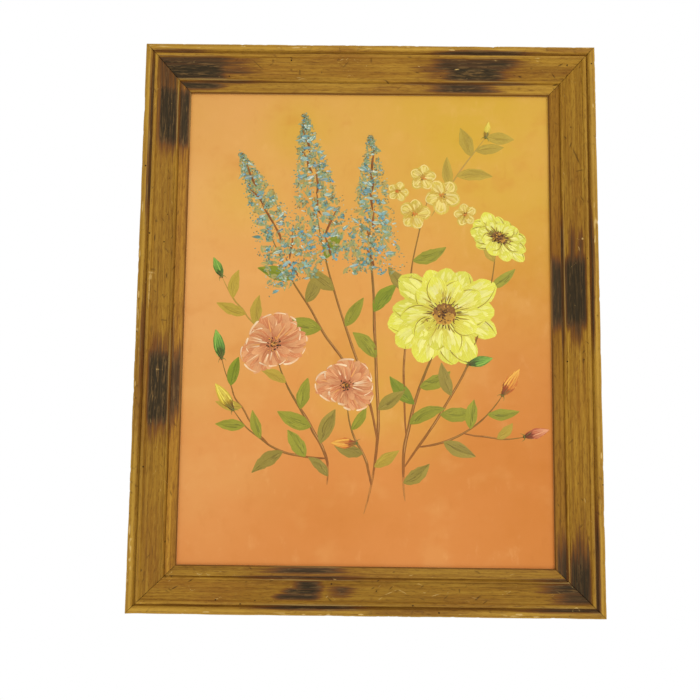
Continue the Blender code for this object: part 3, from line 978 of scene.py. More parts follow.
def canvas_weave(tree, place, axes):
    """The canvas's crossed threads, from -1 to 1, filled with paint here and there."""
    turn = math.pi * THREADS_PER_METRE
    warp, weft = [calc(tree, "SINE", product(tree, axes.outputs[axis], turn)) for axis in "XZ"]
    filled = cloud(tree, place, (160, 160, 160))
    return product(tree, warp, weft, soft_step(tree, filled, 0.30, 0.75))


def card_shows(tree, axes, behind, scrub):
    """1 at the back of the board, within the ragged edge of the canvas that is turned over its edges."""
    ragged = product(tree, calc(tree, "SUBTRACT", scrub, 0.5), RAGGED_EDGE)
    half_across = (board_box[1].x - board_box[0].x) / 2
    half_up = (board_box[1].z - board_box[0].z) / 2
    shares = [calc(tree, "GREATER_THAN", behind, (board_box[1].y - BOARD_Y) * 0.9)]
    for axis, middle, half in (("X", CENTRE.x, half_across), ("Z", CENTRE.z, half_up)):
        off_middle = calc(tree, "ABSOLUTE", calc(tree, "SUBTRACT", axes.outputs[axis], middle))
        shares.append(calc(tree, "LESS_THAN", calc(tree, "ADD", off_middle, ragged), half - TURNED_CANVAS))
    return product(tree, *shares)


def board_material():
    """Blended oil ground on canvas board, with bare canvas at the edges and card at the back."""
    material, tree, shader = new_material("painted_canvas")
    place = put(tree, "TexCoord").outputs["Object"]
    axes = put(tree, "SeparateXYZ", {0: place})
    scrub = cloud(tree, place, (70, 70, 34), 4.0, 0.65)
    weave = canvas_weave(tree, place, axes)
    front = ground_colour(tree, place, axes.outputs["Z"], scrub)
    behind = calc(tree, "SUBTRACT", axes.outputs["Y"], BOARD_Y)
    card = mix(tree, cloud(tree, place, (900, 900, 260), 4.0, 0.7), CARD_FIBRE, CARD_BACK)
    canvas = mix(tree, soft_step(tree, weave, -1.0, 1.0), CANVAS_SHADE, CANVAS_RAW)
    hidden = mix(tree, card_shows(tree, axes, behind, scrub), canvas, card)
    colour = mix(tree, calc(tree, "GREATER_THAN", behind, FRONT_SKIN), front, hidden)
    tree.links.new(colour, shader.inputs["Base Color"])
    tree.links.new(calc(tree, "MULTIPLY_ADD", scrub, 0.24, 0.44), shader.inputs["Roughness"])
    shader.inputs["Specular IOR Level"].default_value = 0.30
    bump(tree, shader, calc(tree, "MULTIPLY_ADD", scrub, 1.2, weave), WEAVE_BUMP)
    return material


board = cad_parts["canvas_board"]
board.data.materials.clear()
board.data.materials.append(board_material())
print("canvas board: painted ground, turned canvas and card back")

# %% [markdown]
# ## Laying paint
#
# The flowers are thicker paint. A brush leaves a low ridge with bristle furrows, and each new stroke lies
# over the ones before it. So every stroke here is a small closed ribbon mesh that follows a curved path,
# and a relief map of the whole picture remembers how high the paint stands at each place. A new stroke
# starts from the height under it, and then raises the map, less so where the paint is thick already,
# because a brush spreads wet paint out. That way thousands of strokes can cross without cutting through
# each other. Displacement on one dense plane was the other choice, but it would blur the edges of the
# strokes.

# %% Strokes
OPENING_HALF_WIDTH = (HALF_WIDTH - RAIL_WIDTH) / MM
OPENING_HALF_HEIGHT = (HALF_HEIGHT - RAIL_WIDTH) / MM
RELIEF_CELL = 0.6
PAINT_CLEARANCE = 0.02
PAINT_SPREADS_OVER = 0.5
PAINT_SHARP_FROM = math.radians(60)
BRISTLE_BUMP = 0.12 * MM
RELIEF_REACH = ((0, 0), (0.7, 0), (-0.7, 0), (0, 0.7), (0, -0.7))
relief_size = [int(2 * half / RELIEF_CELL) + 1 for half in (OPENING_HALF_WIDTH, OPENING_HALF_HEIGHT)]
relief_map = np.zeros(relief_size)
brush_random = np.random.default_rng(11)
STROKE_SHAPES = {
    "line": lambda s: np.minimum(1, np.minimum(s / 0.10 + 0.35, (1 - s) / 0.25 + 0.18)),
    "stem": lambda s: 0.26 + 0.74 * np.sin(np.pi * s ** 0.56) ** 0.8,
    "taper": lambda s: 1 - 0.86 * s,
    "leaf": lambda s: np.maximum(np.sin(np.pi * s ** 0.85) ** 0.85, 0.07),
    "petal": lambda s: np.maximum(np.sin(np.pi * (0.06 + 0.92 * s ** 1.45)) ** 0.62, 0.12),
    "dab": lambda s: np.maximum((1 - (2 * s - 1) ** 4) ** 0.5, 0.3),
}


def relief_cells(places):
    """The relief map's cells at places in millimetres from the picture's middle."""
    column = (places[..., 0] + OPENING_HALF_WIDTH) / RELIEF_CELL
    row = (places[..., 1] + OPENING_HALF_HEIGHT) / RELIEF_CELL
    column = np.clip(np.rint(column), 0, relief_map.shape[0] - 1).astype(int)
    row = np.clip(np.rint(row), 0, relief_map.shape[1] - 1).astype(int)
    return column, row


def pick(colours, random):
    """One of a list of colours."""
    return colours[random.integers(len(colours))]


def between(values, parts):
    """Fills a grid of values in, with the given number of parts in each of its steps, both ways."""
    for axis in (0, 1):
        count = values.shape[axis]
        fine = np.linspace(0, count - 1, (count - 1) * parts + 1)
        low = np.minimum(fine.astype(int), count - 2)
        share = (fine - low).reshape([-1, 1] if axis == 0 else [1, -1])
        share = share[..., None] if values.ndim == 3 else share
        values = np.take(values, low, axis) * (1 - share) + np.take(values, low + 1, axis) * share
    return values


def bowed(*controls, count=10):
    """Points on the smooth curve that starts and ends at the outer controls and leans to the others."""
    share = np.linspace(0, 1, count)[:, None]
    rows = [np.asarray(control, float)[None, :] + 0 * share for control in controls]
    while len(rows) > 1:
        rows = [a * (1 - share) + b * share for a, b in zip(rows, rows[1:])]
    return rows[0]


def away(degrees, length):
    """An offset of a length in a direction, counted from the right and turning upward."""
    return length * np.array([math.cos(math.radians(degrees)), math.sin(math.radians(degrees))])


print("relief map:", relief_map.shape, "cells of", RELIEF_CELL, "mm")

# %% Layers of strokes
class PaintLayer:
    """Strokes that end up in one mesh, with the values that their material reads."""

    def __init__(self, name):
        self.name = name
        self.points = []
        self.faces = []
        self.values = {"paint": [], "streak": [], "brush": []}
        self.strokes = 0
        self.size = 0

    def stroke(self, path, width, first, last=None, streak=None, body=0.16, shape="dab", columns=5):
        """Lays one stroke along a path in millimetres; body is the paint's thickness there."""
        last = first if last is None else last
        streak = last if streak is None else streak
        along = np.linspace(0, 1, len(path))
        across = np.linspace(-1, 1, columns + 1)
        heading = np.gradient(path, axis=0)
        heading /= np.maximum(np.linalg.norm(heading, axis=1, keepdims=True), 1e-6)
        side = np.stack([-heading[:, 1], heading[:, 0]], axis=1)
        run = np.concatenate([[0], np.cumsum(np.linalg.norm(np.diff(path, axis=0), axis=1))])
        seed = 7.0 * self.strokes + len(self.name)

        half = width / 2 * STROKE_SHAPES[shape](along)
        half = half * (0.9 + 0.2 * smooth_noise(run / 4, 0 * run, seed))
        offset = half[:, None] * across[None, :]
        places = path[:, None, :] + side[:, None, :] * offset[..., None]
        under = np.max([relief_map[relief_cells(places + np.array(step))] for step in RELIEF_REACH], axis=0)
        furrow = smooth_noise(across[None, :] * width / 1.3, run[:, None] / 11, seed + 1)
        blunt = np.clip(np.minimum(along, 1 - along) * len(path) / 1.6, 0.15, 1)
        squeezed_out = np.exp(-under / PAINT_SPREADS_OVER)
        rise = body * squeezed_out * (1 - across[None, :] ** 4) * (0.55 + 0.8 * furrow) * blunt[:, None]
        top = under + PAINT_CLEARANCE + rise
        fine = between(np.concatenate([places, top[..., None]], axis=2), 3)
        np.maximum.at(relief_map, relief_cells(fine), fine[..., 2])

        self._close(places, top)
        shade = brush_random.uniform(0.92, 1.08)
        blend = along[:, None, None] + 0 * across[None, :, None]
        paint = (np.array(first) * (1 - blend) + np.array(last) * blend) * shade
        self.values["paint"].append(paint.reshape(-1, 4))
        self.values["streak"].append(np.tile(np.array(streak) * shade, (offset.size, 1)))
        brush = np.stack([offset, run[:, None] + 0 * offset, seed + 0 * offset], axis=2)
        self.values["brush"].append(brush.reshape(-1, 3))
        self.strokes += 1

    def _close(self, places, top):
        """Adds the stroke's ribbon: its top, its flat underside and its two ends."""
        rows, columns = top.shape
        points = np.empty((rows, columns, 3))
        points[..., 0] = CENTRE.x + places[..., 0] * MM
        points[..., 1] = BOARD_Y - top * MM
        points[..., 2] = CENTRE.z + places[..., 1] * MM
        here = self.size + np.arange(rows * columns).reshape(rows, columns)
        tops = np.stack([here[:-1, :-1], here[1:, :-1], here[1:, 1:], here[:-1, 1:]], axis=2)
        below = np.stack([here[:-1, 0], here[:-1, -1], here[1:, -1], here[1:, 0]], axis=1)
        self.faces += tops.reshape(-1, 4).tolist() + below.tolist()
        self.faces += [here[0].tolist(), here[-1, ::-1].tolist()]
        self.points.append(points.reshape(-1, 3))
        self.size += rows * columns

    def finish(self, material):
        """Makes the strokes one piece of the object."""
        mesh = bpy.data.meshes.new(self.name)
        mesh.from_pydata(np.concatenate(self.points), [], self.faces)
        mesh.shade_smooth()
        mesh.set_sharp_from_angle(angle=PAINT_SHARP_FROM)
        for name, kind in (("paint", "FLOAT_COLOR"), ("streak", "FLOAT_COLOR"), ("brush", "FLOAT_VECTOR")):
            set_points(mesh, name, kind, np.concatenate(self.values[name]))
        add_piece(self.name, mesh, material)
        triangles = sum(len(face) - 2 for face in self.faces)
        print(self.name, self.strokes, "strokes,", triangles, "triangles")


print("paint layers ready")

# %% The oil paint's material
# Painted shade in the furrows of the brush.
FURROW_SHADE = tone(120, 80, 40)


def paint_material():
    """Oil paint: its own colour, streaked and furrowed along the brush's way, with painted shade in the
    furrows.
    """
    material, tree, shader = new_material("brushed_oil_paint")
    brush = attribute(tree, "brush", "Vector")
    bristles = cloud(tree, brush, (1.5, 0.10, 1.0), 3.0, 0.6)
    fine = cloud(tree, brush, (5.5, 0.30, 1.0), 2.0, 0.5)
    paint = attribute(tree, "paint", "Color")
    colour = mix(tree, soft_step(tree, bristles, 0.50, 0.66), paint, attribute(tree, "streak", "Color"))
    # The furrows' deeper parts get painted shade.
    deeper = product(tree, soft_step(tree, fine, 0.50, 0.30), 0.22)
    colour = mix(tree, deeper, colour, FURROW_SHADE, blend="MULTIPLY")
    tree.links.new(colour, shader.inputs["Base Color"])
    tree.links.new(calc(tree, "MULTIPLY_ADD", fine, 0.30, 0.26), shader.inputs["Roughness"])
    shader.inputs["Specular IOR Level"].default_value = 0.24
    bump(tree, shader, calc(tree, "MULTIPLY_ADD", bristles, 1.5, fine), BRISTLE_BUMP)
    return material


oil_paint = paint_material()
print("oil paint ready")

# %% [markdown]
# ## The spray: stems and leaves
#
# The picture shows a loose spray of garden flowers. Three main stems rise from soft, faded feet, and the
# others branch from them, so a branch is named by its parent and how far up it starts, and stays attached
# however the parent is moved. Each stem is a long stroke on a curve of a few controls, with a slight
# wobble, because a hand doesn't draw true curves. Leaves grow from the stems in the same way. The palest
# leaves nearly sink into the ground.

# %% Stems
STEM_BROWN = tone(154, 94, 36)
STEM_DARK = tone(120, 70, 28)
STEM_PALE = tone(190, 138, 74)
STEM_FADED = tone(194, 128, 58)
STEM_OLIVE = tone(134, 108, 40)
STEM_GHOST = tone(176, 144, 56)
STEM_WOBBLE = 2.4
# Each stem: its start (a place, or a parent and how far up it), its other controls, then its width.
# Places are in millimetres from the picture's middle.
STEMS = {
    "sun_large": (((36, -164), (28, -108), (46, -62), (74, 0)), 3.2),
    "spire_right": (((-2, -176), (26, -92), (-2, 30), (2, 112)), 3.0),
    "poppy_left": (((-36, -150), (-30, -104), (-66, -92), (-84, -34)), 3.0),
    "spire_middle": ((("spire_right", 0.24), (2, -50), (-42, 40), (-52, 122)), 2.4),
    "spire_left": ((("spire_middle", 0.16), (-24, -30), (-70, 30), (-98, 96)), 2.3),
    "sun_turned": ((("sun_large", 0.18), (58, -96), (112, -40), (121, 74)), 2.4),
    "poppy_low": ((("spire_right", 0.10), (2, -124), (-16, -106), (-18, -76)), 2.4),
    "blossoms": ((("sun_large", 0.36), (30, -40), (38, 60), (56, 118)), 2.0),
    "buds_right": ((("sun_turned", 0.16), (74, -112), (104, -100), (126, -66)), 2.2),
    "twig_right": ((("buds_right", 0.52), (112, -106), (132, -108), (146, -104)), 1.6),
    "buds_left": ((("poppy_left", 0.20), (-62, -126), (-98, -120), (-124, -82)), 2.2),
    "twig_left": ((("buds_left", 0.60), (-112, -92), (-130, -62), (-136, -34)), 1.6),
    "ghost_high": (((60, 104), (80, 140), (96, 160), (112, 182)), 1.5),
    "ghost_left": (((-82, -20), (-108, 0), (-124, 14), (-138, 44)), 1.5),
}


def stem_path(stem, count=46):
    """Points up a stem, which may start on another one."""
    start, *controls = STEMS[stem][0]
    if isinstance(start[0], str):
        start = stem_point(*start)[0]
    path = bowed(start, *controls, count=count)
    share = np.linspace(0, 1, count)
    wobble = smooth_noise(share * 7, share * 0, len(stem) + start[0]) - 0.5
    return path + np.stack([wobble, 0.5 * wobble], axis=1) * (STEM_WOBBLE * np.sin(np.pi * share))[:, None]


def stem_point(stem, share):
    """The place a share of the way up a stem, and the stem's direction there in degrees."""
    path = stem_path(stem, 101)
    k = int(round(share * 100))
    ahead = path[min(k + 2, 100)] - path[max(k - 2, 0)]
    return path[k], math.degrees(math.atan2(ahead[1], ahead[0]))


def paint_stems():
    """Every stem as a faded stroke, with a darker and a lighter one along it from above its foot."""
    layer = PaintLayer("painted_stems")
    for name, (controls, width) in STEMS.items():
        path = stem_path(name)
        if name.startswith("ghost"):
            layer.stroke(path, width, STEM_GHOST, STEM_GHOST, STEM_PALE, 0.06, "line", 3)
            continue
        branches = isinstance(controls[0][0], str)
        layer.stroke(path, width * 0.8, STEM_FADED, STEM_BROWN, STEM_BROWN, 0.07, "stem", 4)
        layer.stroke(path[0 if branches else 6:], width, STEM_BROWN, STEM_OLIVE, STEM_DARK, 0.10, "stem", 4)
        layer.stroke(path[12:32] + 0.3, width * 0.26, STEM_PALE, STEM_BROWN, STEM_PALE, 0.06, "line", 3)
    layer.finish(oil_paint)


paint_stems()

# %% Leaves
LEAF_GREENS = {
    "fresh": (tone(118, 130, 26), tone(142, 148, 38), tone(92, 104, 24)),
    "green": (tone(142, 140, 38), tone(158, 152, 48), tone(114, 112, 32)),
    "grey": (tone(144, 126, 48), tone(158, 138, 58), tone(118, 100, 38)),
    "ghost": (tone(176, 148, 50), tone(184, 156, 56), tone(162, 134, 44)),
}
# Each leaf: its stem, how far up, side (1 left, -1 right), length, green.
LEAVES = [
    ("poppy_left", 0.34, -1, 30, "grey"), ("poppy_left", 0.50, 1, 30, "green"),
    ("poppy_left", 0.66, -1, 26, "green"), ("poppy_left", 0.06, 1, 22, "grey"),
    ("poppy_low", 0.40, 1, 24, "grey"), ("poppy_low", 0.72, -1, 22, "green"),
    ("sun_large", 0.10, -1, 26, "grey"), ("sun_large", 0.44, -1, 32, "green"),
    ("sun_large", 0.56, 1, 30, "fresh"), ("sun_large", 0.66, -1, 28, "green"),
    ("sun_turned", 0.36, -1, 30, "green"), ("sun_turned", 0.46, 1, 28, "grey"),
    ("sun_turned", 0.80, 1, 24, "grey"), ("sun_turned", 0.88, -1, 26, "green"),
    ("buds_right", 0.30, -1, 28, "grey"), ("buds_right", 0.60, 1, 24, "green"),
    ("buds_right", 0.80, -1, 26, "green"), ("buds_left", 0.24, -1, 26, "green"),
    ("buds_left", 0.46, 1, 30, "grey"), ("buds_left", 0.70, -1, 24, "green"),
    ("buds_left", 0.86, 1, 24, "green"), ("twig_left", 0.46, 1, 22, "ghost"),
    ("twig_left", 0.70, -1, 24, "fresh"), ("spire_left", 0.46, 1, 32, "green"),
    ("spire_left", 0.60, -1, 28, "grey"), ("spire_left", 0.72, 1, 30, "fresh"),
    ("spire_middle", 0.50, -1, 28, "green"), ("spire_middle", 0.64, 1, 30, "grey"),
    ("spire_middle", 0.76, -1, 26, "fresh"), ("spire_right", 0.50, 1, 28, "green"),
    ("spire_right", 0.64, -1, 30, "fresh"), ("spire_right", 0.34, -1, 26, "grey"),
    ("blossoms", 0.60, 1, 26, "grey"), ("blossoms", 0.72, -1, 30, "green"),
    ("blossoms", 0.86, 1, 22, "grey"), ("ghost_high", 0.30, 1, 26, "ghost"),
    ("ghost_high", 0.44, -1, 30, "ghost"), ("ghost_high", 0.72, 1, 26, "ghost"),
    ("ghost_high", 0.80, -1, 24, "ghost"), ("ghost_high", 1.0, -1, 24, "ghost"),
    ("ghost_left", 0.30, -1, 26, "ghost"), ("ghost_left", 0.50, 1, 26, "ghost"),
    ("ghost_left", 0.74, -1, 24, "ghost"), ("sun_turned", 0.96, 1, 20, "ghost"),
    ("twig_right", 0.5, 1, 18, "ghost"), ("spire_right", 0.16, -1, 24, "ghost"),
    ("poppy_left", 0.86, 1, 22, "ghost"),
]
LEAF_GROWTH = 1.14


def leaf(layer, foot, degrees, length, width, greens, random, body=0.10):
    """A pointed leaf: a broad stroke, one half overlaid, a few long hairs of paint and a faint midrib."""
    green, light, dark = greens
    tip = foot + away(degrees, length)
    bow = away(degrees + 90, length * random.uniform(-0.16, 0.16))
    path = bowed(foot, (foot + tip) / 2 + bow, tip, count=13)
    layer.stroke(path, width, green, light, green, body, "leaf", 6)
    shift = away(degrees + random.choice([-90, 90]), width * 0.20)
    inner = bowed(foot + away(degrees, length * 0.10), (foot + tip) / 2 + bow + shift * 1.6, tip, count=10)
    layer.stroke(inner, width * 0.46, light, green, dark, body * 0.6, "leaf", 4)
    for _ in range(2):
        aside = away(degrees + 90, width * random.uniform(-0.3, 0.3))
        begin = foot + away(degrees, length * random.uniform(0.15, 0.35)) + aside * 0.6
        end = tip - away(degrees, length * random.uniform(0.1, 0.3))
        hair = bowed(begin, (foot + tip) / 2 + bow + aside, end, count=8)
        thickness = random.uniform(0.7, 1.3)
        layer.stroke(hair, thickness, pick([light, dark], random), green, green, 0.05, "line", 3)
    layer.stroke(path[1:9], 0.6, dark, green, green, 0.05, "line", 3)


def paint_leaves():
    """Every leaf on its stem."""
    layer = PaintLayer("painted_leaves")
    random = np.random.default_rng(21)
    for stem, share, side, length, green in LEAVES:
        foot, heading = stem_point(stem, share)
        degrees = heading + side * random.uniform(34, 58)
        body = 0.04 if green == "ghost" else 0.10
        length *= LEAF_GROWTH
        width = length * random.uniform(0.34, 0.44)
        leaf(layer, foot, degrees, length, width, LEAF_GREENS[green], random, body)
    layer.finish(oil_paint)


paint_leaves()

# %% [markdown]
# ## Blue flower spires
#
# Three tall spires stand at the upper left. On such a flower many small blossoms crowd round the stem,
# wide at the foot and shrinking to buds at the tip. The painter worked them loosely: first a thin grey
# green scumble that lets the ground through, then a stipple of small specks, then clusters of dabs for
# the blossoms, some of them blue and some grey green, then broad bold strokes of blue, and last a few
# touches of nearly white paint. The same passes are made here, each with many tiny strokes.

# %% The spires' tones and places
SPIRE_SCUMBLE = [tone(146, 156, 104), tone(130, 150, 108), tone(158, 154, 90), tone(170, 152, 84)]
SPIRE_SPECKS = [
    tone(114, 144, 112), tone(140, 162, 120), tone(102, 128, 98), tone(140, 118, 66), tone(170, 182, 148),
]
SPIRE_BLUE = [
    tone(100, 144, 134), tone(132, 170, 154), tone(80, 120, 112), tone(146, 174, 148), tone(96, 150, 174),
]
SPIRE_BOLD = [tone(96, 150, 178), tone(118, 164, 176), tone(84, 132, 138), tone(150, 184, 176)]
SPIRE_WHITE = [tone(214, 222, 196), tone(186, 206, 192), tone(228, 228, 200)]
SPIRE_SHADE = [tone(122, 88, 44), tone(82, 96, 70), tone(112, 70, 34)]
SPIRE_GROUND = tone(204, 164, 86)
# Each spire: its foot, middle and tip in millimetres, its half width at the foot, and its number of
# blossoms.
SPIRES = [
    ((-64, 40), (-92, 98), (-124, 166), 28, 46),
    ((-34, 60), (-54, 130), (-62, 204), 30, 54),
    ((6, 50), (4, 112), (2, 184), 26, 46),
]
print("spires:", len(SPIRES), "with", sum(row[-1] for row in SPIRES), "blossoms")

# %% Spires
def scumble(layer, spot, lean, blossoms, random):
    """Thin grey green strokes that let the ground through, and small specks over them."""
    for _ in range(blossoms * 4):
        place = spot(random.uniform(0, 0.96), 1.0)
        step = away(lean + random.uniform(-80, 80), random.uniform(2.0, 4.5))
        colour = pick(SPIRE_SCUMBLE, random)
        path = bowed(place - step, place + away(lean, 1.5), place + step, count=7)
        layer.stroke(path, random.uniform(1.8, 4.0), colour, colour, SPIRE_GROUND, 0.04, "leaf", 4)
    for _ in range(blossoms * 14):
        place = spot(random.uniform(0, 1), 1.22)
        step = away(random.uniform(0, 360), random.uniform(0.8, 2.0))
        colour = pick(SPIRE_SPECKS, random)
        path = bowed(place, place + step, count=3)
        layer.stroke(path, random.uniform(0.7, 1.6), colour, body=0.10, columns=3)


def twigs(layer, spot, line, random):
    """Short bent twigs from the stem out to the blossoms."""
    for twig in range(6):
        share = 0.04 + twig * 0.14
        start, end = line[int(share * 100)], spot(share + 0.16, 0.8)
        bends = [(start + end) / 2 + random.normal(0, 2.5, 2) for _ in range(2)]
        path = bowed(start, *bends, end, count=11)
        layer.stroke(path, 2.2, STEM_DARK, STEM_BROWN, body=0.12, shape="stem")


def spire_blossoms(layer, spot, blossoms, random):
    """Clusters of dabs, large at the foot and small at the tip, each with two dark touches."""
    for number in range(blossoms):
        share = (number + random.uniform(0, 1)) / blossoms
        place = spot(share, 0.92)
        size = 1.9 + 2.2 * (1 - share) + random.uniform(0, 0.9)
        turn = random.uniform(0, 360)
        family = SPIRE_BLUE if random.uniform(0, 1) < 0.5 else SPIRE_SPECKS
        for _ in range(8 if share < 0.7 else 4):
            start = place + random.normal(0, size * 0.42, 2)
            step = away(turn + random.uniform(-50, 50), size * random.uniform(0.4, 0.9))
            width = size * random.uniform(0.34, 0.62)
            first, last = pick(family, random), pick(family, random)
            layer.stroke(bowed(start, start + step, count=4), width, first, last, body=0.16, columns=3)
        for _ in range(2):
            start = place + random.normal(0, size * 0.4, 2)
            path = bowed(start, start + away(turn, 1.0), count=3)
            layer.stroke(path, 1.0, pick(SPIRE_SHADE, random), columns=3)


def spire_touches(layer, spot, lean, blossoms, random):
    """Broad bold strokes of blue across the spire, then touches of nearly white paint."""
    for _ in range(blossoms // 2):
        place = spot(random.uniform(0, 0.86), 0.90)
        turn = lean + random.choice([-1, 1]) * random.uniform(50, 110)
        tip = place + away(turn, random.uniform(5.0, 10.0))
        path = bowed(place, (place + tip) / 2 + random.normal(0, 0.9, 2), tip, count=8)
        first, last = pick(SPIRE_BOLD, random), pick(SPIRE_SPECKS, random)
        layer.stroke(path, random.uniform(2.2, 3.8), first, last, pick(SPIRE_WHITE, random), 0.20, "leaf", 5)
    for _ in range(blossoms):
        place = spot(random.uniform(0, 0.94), 0.95)
        path = bowed(place, place + away(random.uniform(-60, 40), random.uniform(1.6, 4.6)), count=5)
        width = random.uniform(0.9, 2.0)
        first, last = pick(SPIRE_WHITE, random), pick(SPIRE_BLUE, random)
        layer.stroke(path, width, first, last, body=0.26, columns=4)


def spire(layer, foot, middle, tip, half_width, blossoms, random):
    """One spire of small blossoms, from the scumble up to the last touches."""
    line = bowed(foot, middle, tip, count=101)
    lean = math.degrees(math.atan2(tip[1] - foot[1], tip[0] - foot[0]))

    def spot(share, spread):
        reach = half_width * (1 - share) ** 0.75 * spread
        aside = away(lean + 90, random.uniform(-reach, reach))
        return line[int(share * 100)] + aside + random.normal(0, 0.8, 2)

    scumble(layer, spot, lean, blossoms, random)
    twigs(layer, spot, line, random)
    spire_blossoms(layer, spot, blossoms, random)
    spire_touches(layer, spot, lean, blossoms, random)


def paint_spires():
    """The three blue spires."""
    layer = PaintLayer("painted_spires")
    random = np.random.default_rng(31)
    for row in SPIRES:
        spire(layer, *row, random)
    layer.finish(oil_paint)


paint_spires()

# %% [markdown]
# ## Yellow sun flowers
#
# The large flower faces the viewer and the small one is turned aside. Each has two rings of broad pointed
# petals round a rough brown eye. A petal is one wide stroke, with narrow strokes of lighter and deeper
# yellow laid on it along its length, and a thin brown line on one edge, where the painter drew round it.
# Turning a flower aside is a squeeze of every petal's direction, which both shortens and crowds those
# that point along the squeeze.

# %% Petals
SUN_YELLOW = tone(218, 215, 72)
SUN_LIGHT = tone(228, 224, 114)
SUN_DEEP = tone(198, 180, 56)
SUN_SHADE = tone(160, 124, 44)
SUN_PALE = tone(234, 226, 146)
SUN_TONES = (SUN_YELLOW, SUN_LIGHT, SUN_DEEP, SUN_PALE)
EYE_BROWN = tone(128, 80, 34)
EYE_DARK = tone(70, 42, 22)
EYE_GOLD = tone(206, 152, 54)
LINE_BROWN = tone(122, 88, 34)


def turned_aside(middle, direction, ratio):
    """Gives places round a flower's middle, by direction and distance, squeezed to turn the flower aside."""
    middle = np.array(middle, float)
    way = away(direction, 1.0)

    def at(degrees, distance):
        offset = away(degrees, distance)
        return middle + (offset + way * (offset @ way) * (ratio - 1))

    return at


def petal(layer, foot, tip, width, colours, random, lines=5, edge=LINE_BROWN):
    """A broad petal with lighter and deeper strokes along it."""
    body, light, deep, pale = colours
    along = tip - foot
    length = np.linalg.norm(along)
    side = np.array([-along[1], along[0]]) / length
    bow = side * length * random.uniform(-0.10, 0.10)
    path = bowed(foot, foot + along / 2 + bow, tip, count=14)
    layer.stroke(path, width, deep, body, light, 0.22, "petal", 8)
    for number in range(lines):
        shift = (number + random.uniform(0.2, 0.8)) / lines * 2 - 1
        start = foot + along * random.uniform(0.10, 0.45) + side * shift * width * 0.16
        end = foot + along * random.uniform(0.72, 0.92) + side * shift * width * 0.36
        colour = pick((light, pale, deep, body), random)
        middle = (start + end) / 2 + bow + side * shift * width * 0.10
        layer.stroke(bowed(start, middle, end, count=10), width * 0.15, colour, light, pale, 0.16, "line", 4)
    if edge is not None and random.random() < 0.7:
        turn = random.choice([-1, 1]) * width * 0.44
        start, middle = foot + along * 0.25 + side * turn * 0.8, foot + along * 0.7 + side * turn * 1.3
        layer.stroke(bowed(start, middle, tip, count=12), 0.8, edge, deep, edge, 0.08, "line", 3)


print("petals ready")

# %% Sun flowers
def flower_eye(layer, at, radius, random):
    """A rough brown eye: gold strokes across it, many short dabs, and dark lashes round it."""
    for degrees in range(0, 180, 30):
        path = bowed(at(degrees + 180, radius * 0.21), at(degrees, radius * 0.21), count=8)
        layer.stroke(path, radius * 0.17, EYE_GOLD, EYE_BROWN, SUN_SHADE)
    for _ in range(110):
        spread = abs(random.normal(0, 0.12))
        place = at(random.uniform(0, 360), radius * spread)
        colour = pick((EYE_BROWN, EYE_DARK, EYE_GOLD, EYE_BROWN, LINE_BROWN), random)
        step = away(random.uniform(0, 360), random.uniform(1.2, 2.6))
        path = bowed(place, place + step, count=4)
        layer.stroke(path, random.uniform(0.8, 1.5), colour, body=0.24, columns=3)
    for number in range(26):
        degrees = 360 * number / 26 + random.uniform(-5, 5)
        path = bowed(at(degrees, radius * 0.21), at(degrees, radius * random.uniform(0.27, 0.36)), count=5)
        layer.stroke(path, 0.8, EYE_DARK, LINE_BROWN, body=0.12, shape="line", columns=3)


def sun_flower(layer, at, radius, rings, random):
    """Broad petals round a rough eye; each ring has its number of petals, its reach and its breadth."""
    for count, reach, breadth in rings:
        for number in random.permutation(count):
            degrees = 360 * number / count + random.uniform(-9, 9)
            tip = at(degrees, radius * reach * random.uniform(0.84, 1.06))
            width = radius * breadth * random.uniform(0.88, 1.12)
            petal(layer, at(degrees, radius * 0.16), tip, width, SUN_TONES, random)
        for _ in range(2 * count):
            degrees = random.uniform(0, 360)
            start = at(degrees, radius * reach * random.uniform(0.24, 0.42))
            end = at(degrees + random.uniform(-8, 8), radius * reach * random.uniform(0.5, 0.68))
            width = random.uniform(0.7, 1.4)
            layer.stroke(bowed(start, end, count=8), width, SUN_SHADE, SUN_DEEP, LINE_BROWN, 0.06, "line", 3)
    flower_eye(layer, at, radius, random)


def paint_sun_flowers():
    """The large sun flower and the small one behind it."""
    layer = PaintLayer("painted_sun_flowers")
    random = np.random.default_rng(41)
    sun_flower(layer, turned_aside((124, 84), 60, 0.62), 33, [(13, 1.0, 0.42), (9, 0.72, 0.36)], random)
    sun_flower(layer, turned_aside((72, 10), 100, 0.92), 54, [(13, 1.0, 0.46), (10, 0.74, 0.40)], random)
    layer.finish(oil_paint)


paint_sun_flowers()

# %% [markdown]
# ## Coral poppies
#
# Two poppies sit low on the left. A poppy petal is a wide ruffled fan, so each is laid as a fan of
# strokes that start narrow at the eye and end at an uneven rim, dark at the foot and pale at the rim,
# where a last thin stroke of nearly white paint picks out the ruffle.

# %% Poppies
POPPY_CORAL = tone(210, 134, 84)
POPPY_LIGHT = tone(224, 162, 108)
POPPY_DEEP = tone(176, 94, 56)
POPPY_RIM = tone(240, 214, 174)
POPPY_GOLD = tone(222, 150, 62)
FAN_STROKES = 9
RIM_POINTS = 40
# Each petal: its direction in degrees, half its spread, and its reach as a share of the flower's radius.
POPPY_PETALS = (
    (90, 52, 1.0), (210, 46, 0.96), (330, 46, 0.96), (150, 40, 0.80), (30, 40, 0.80), (270, 44, 0.72),
)


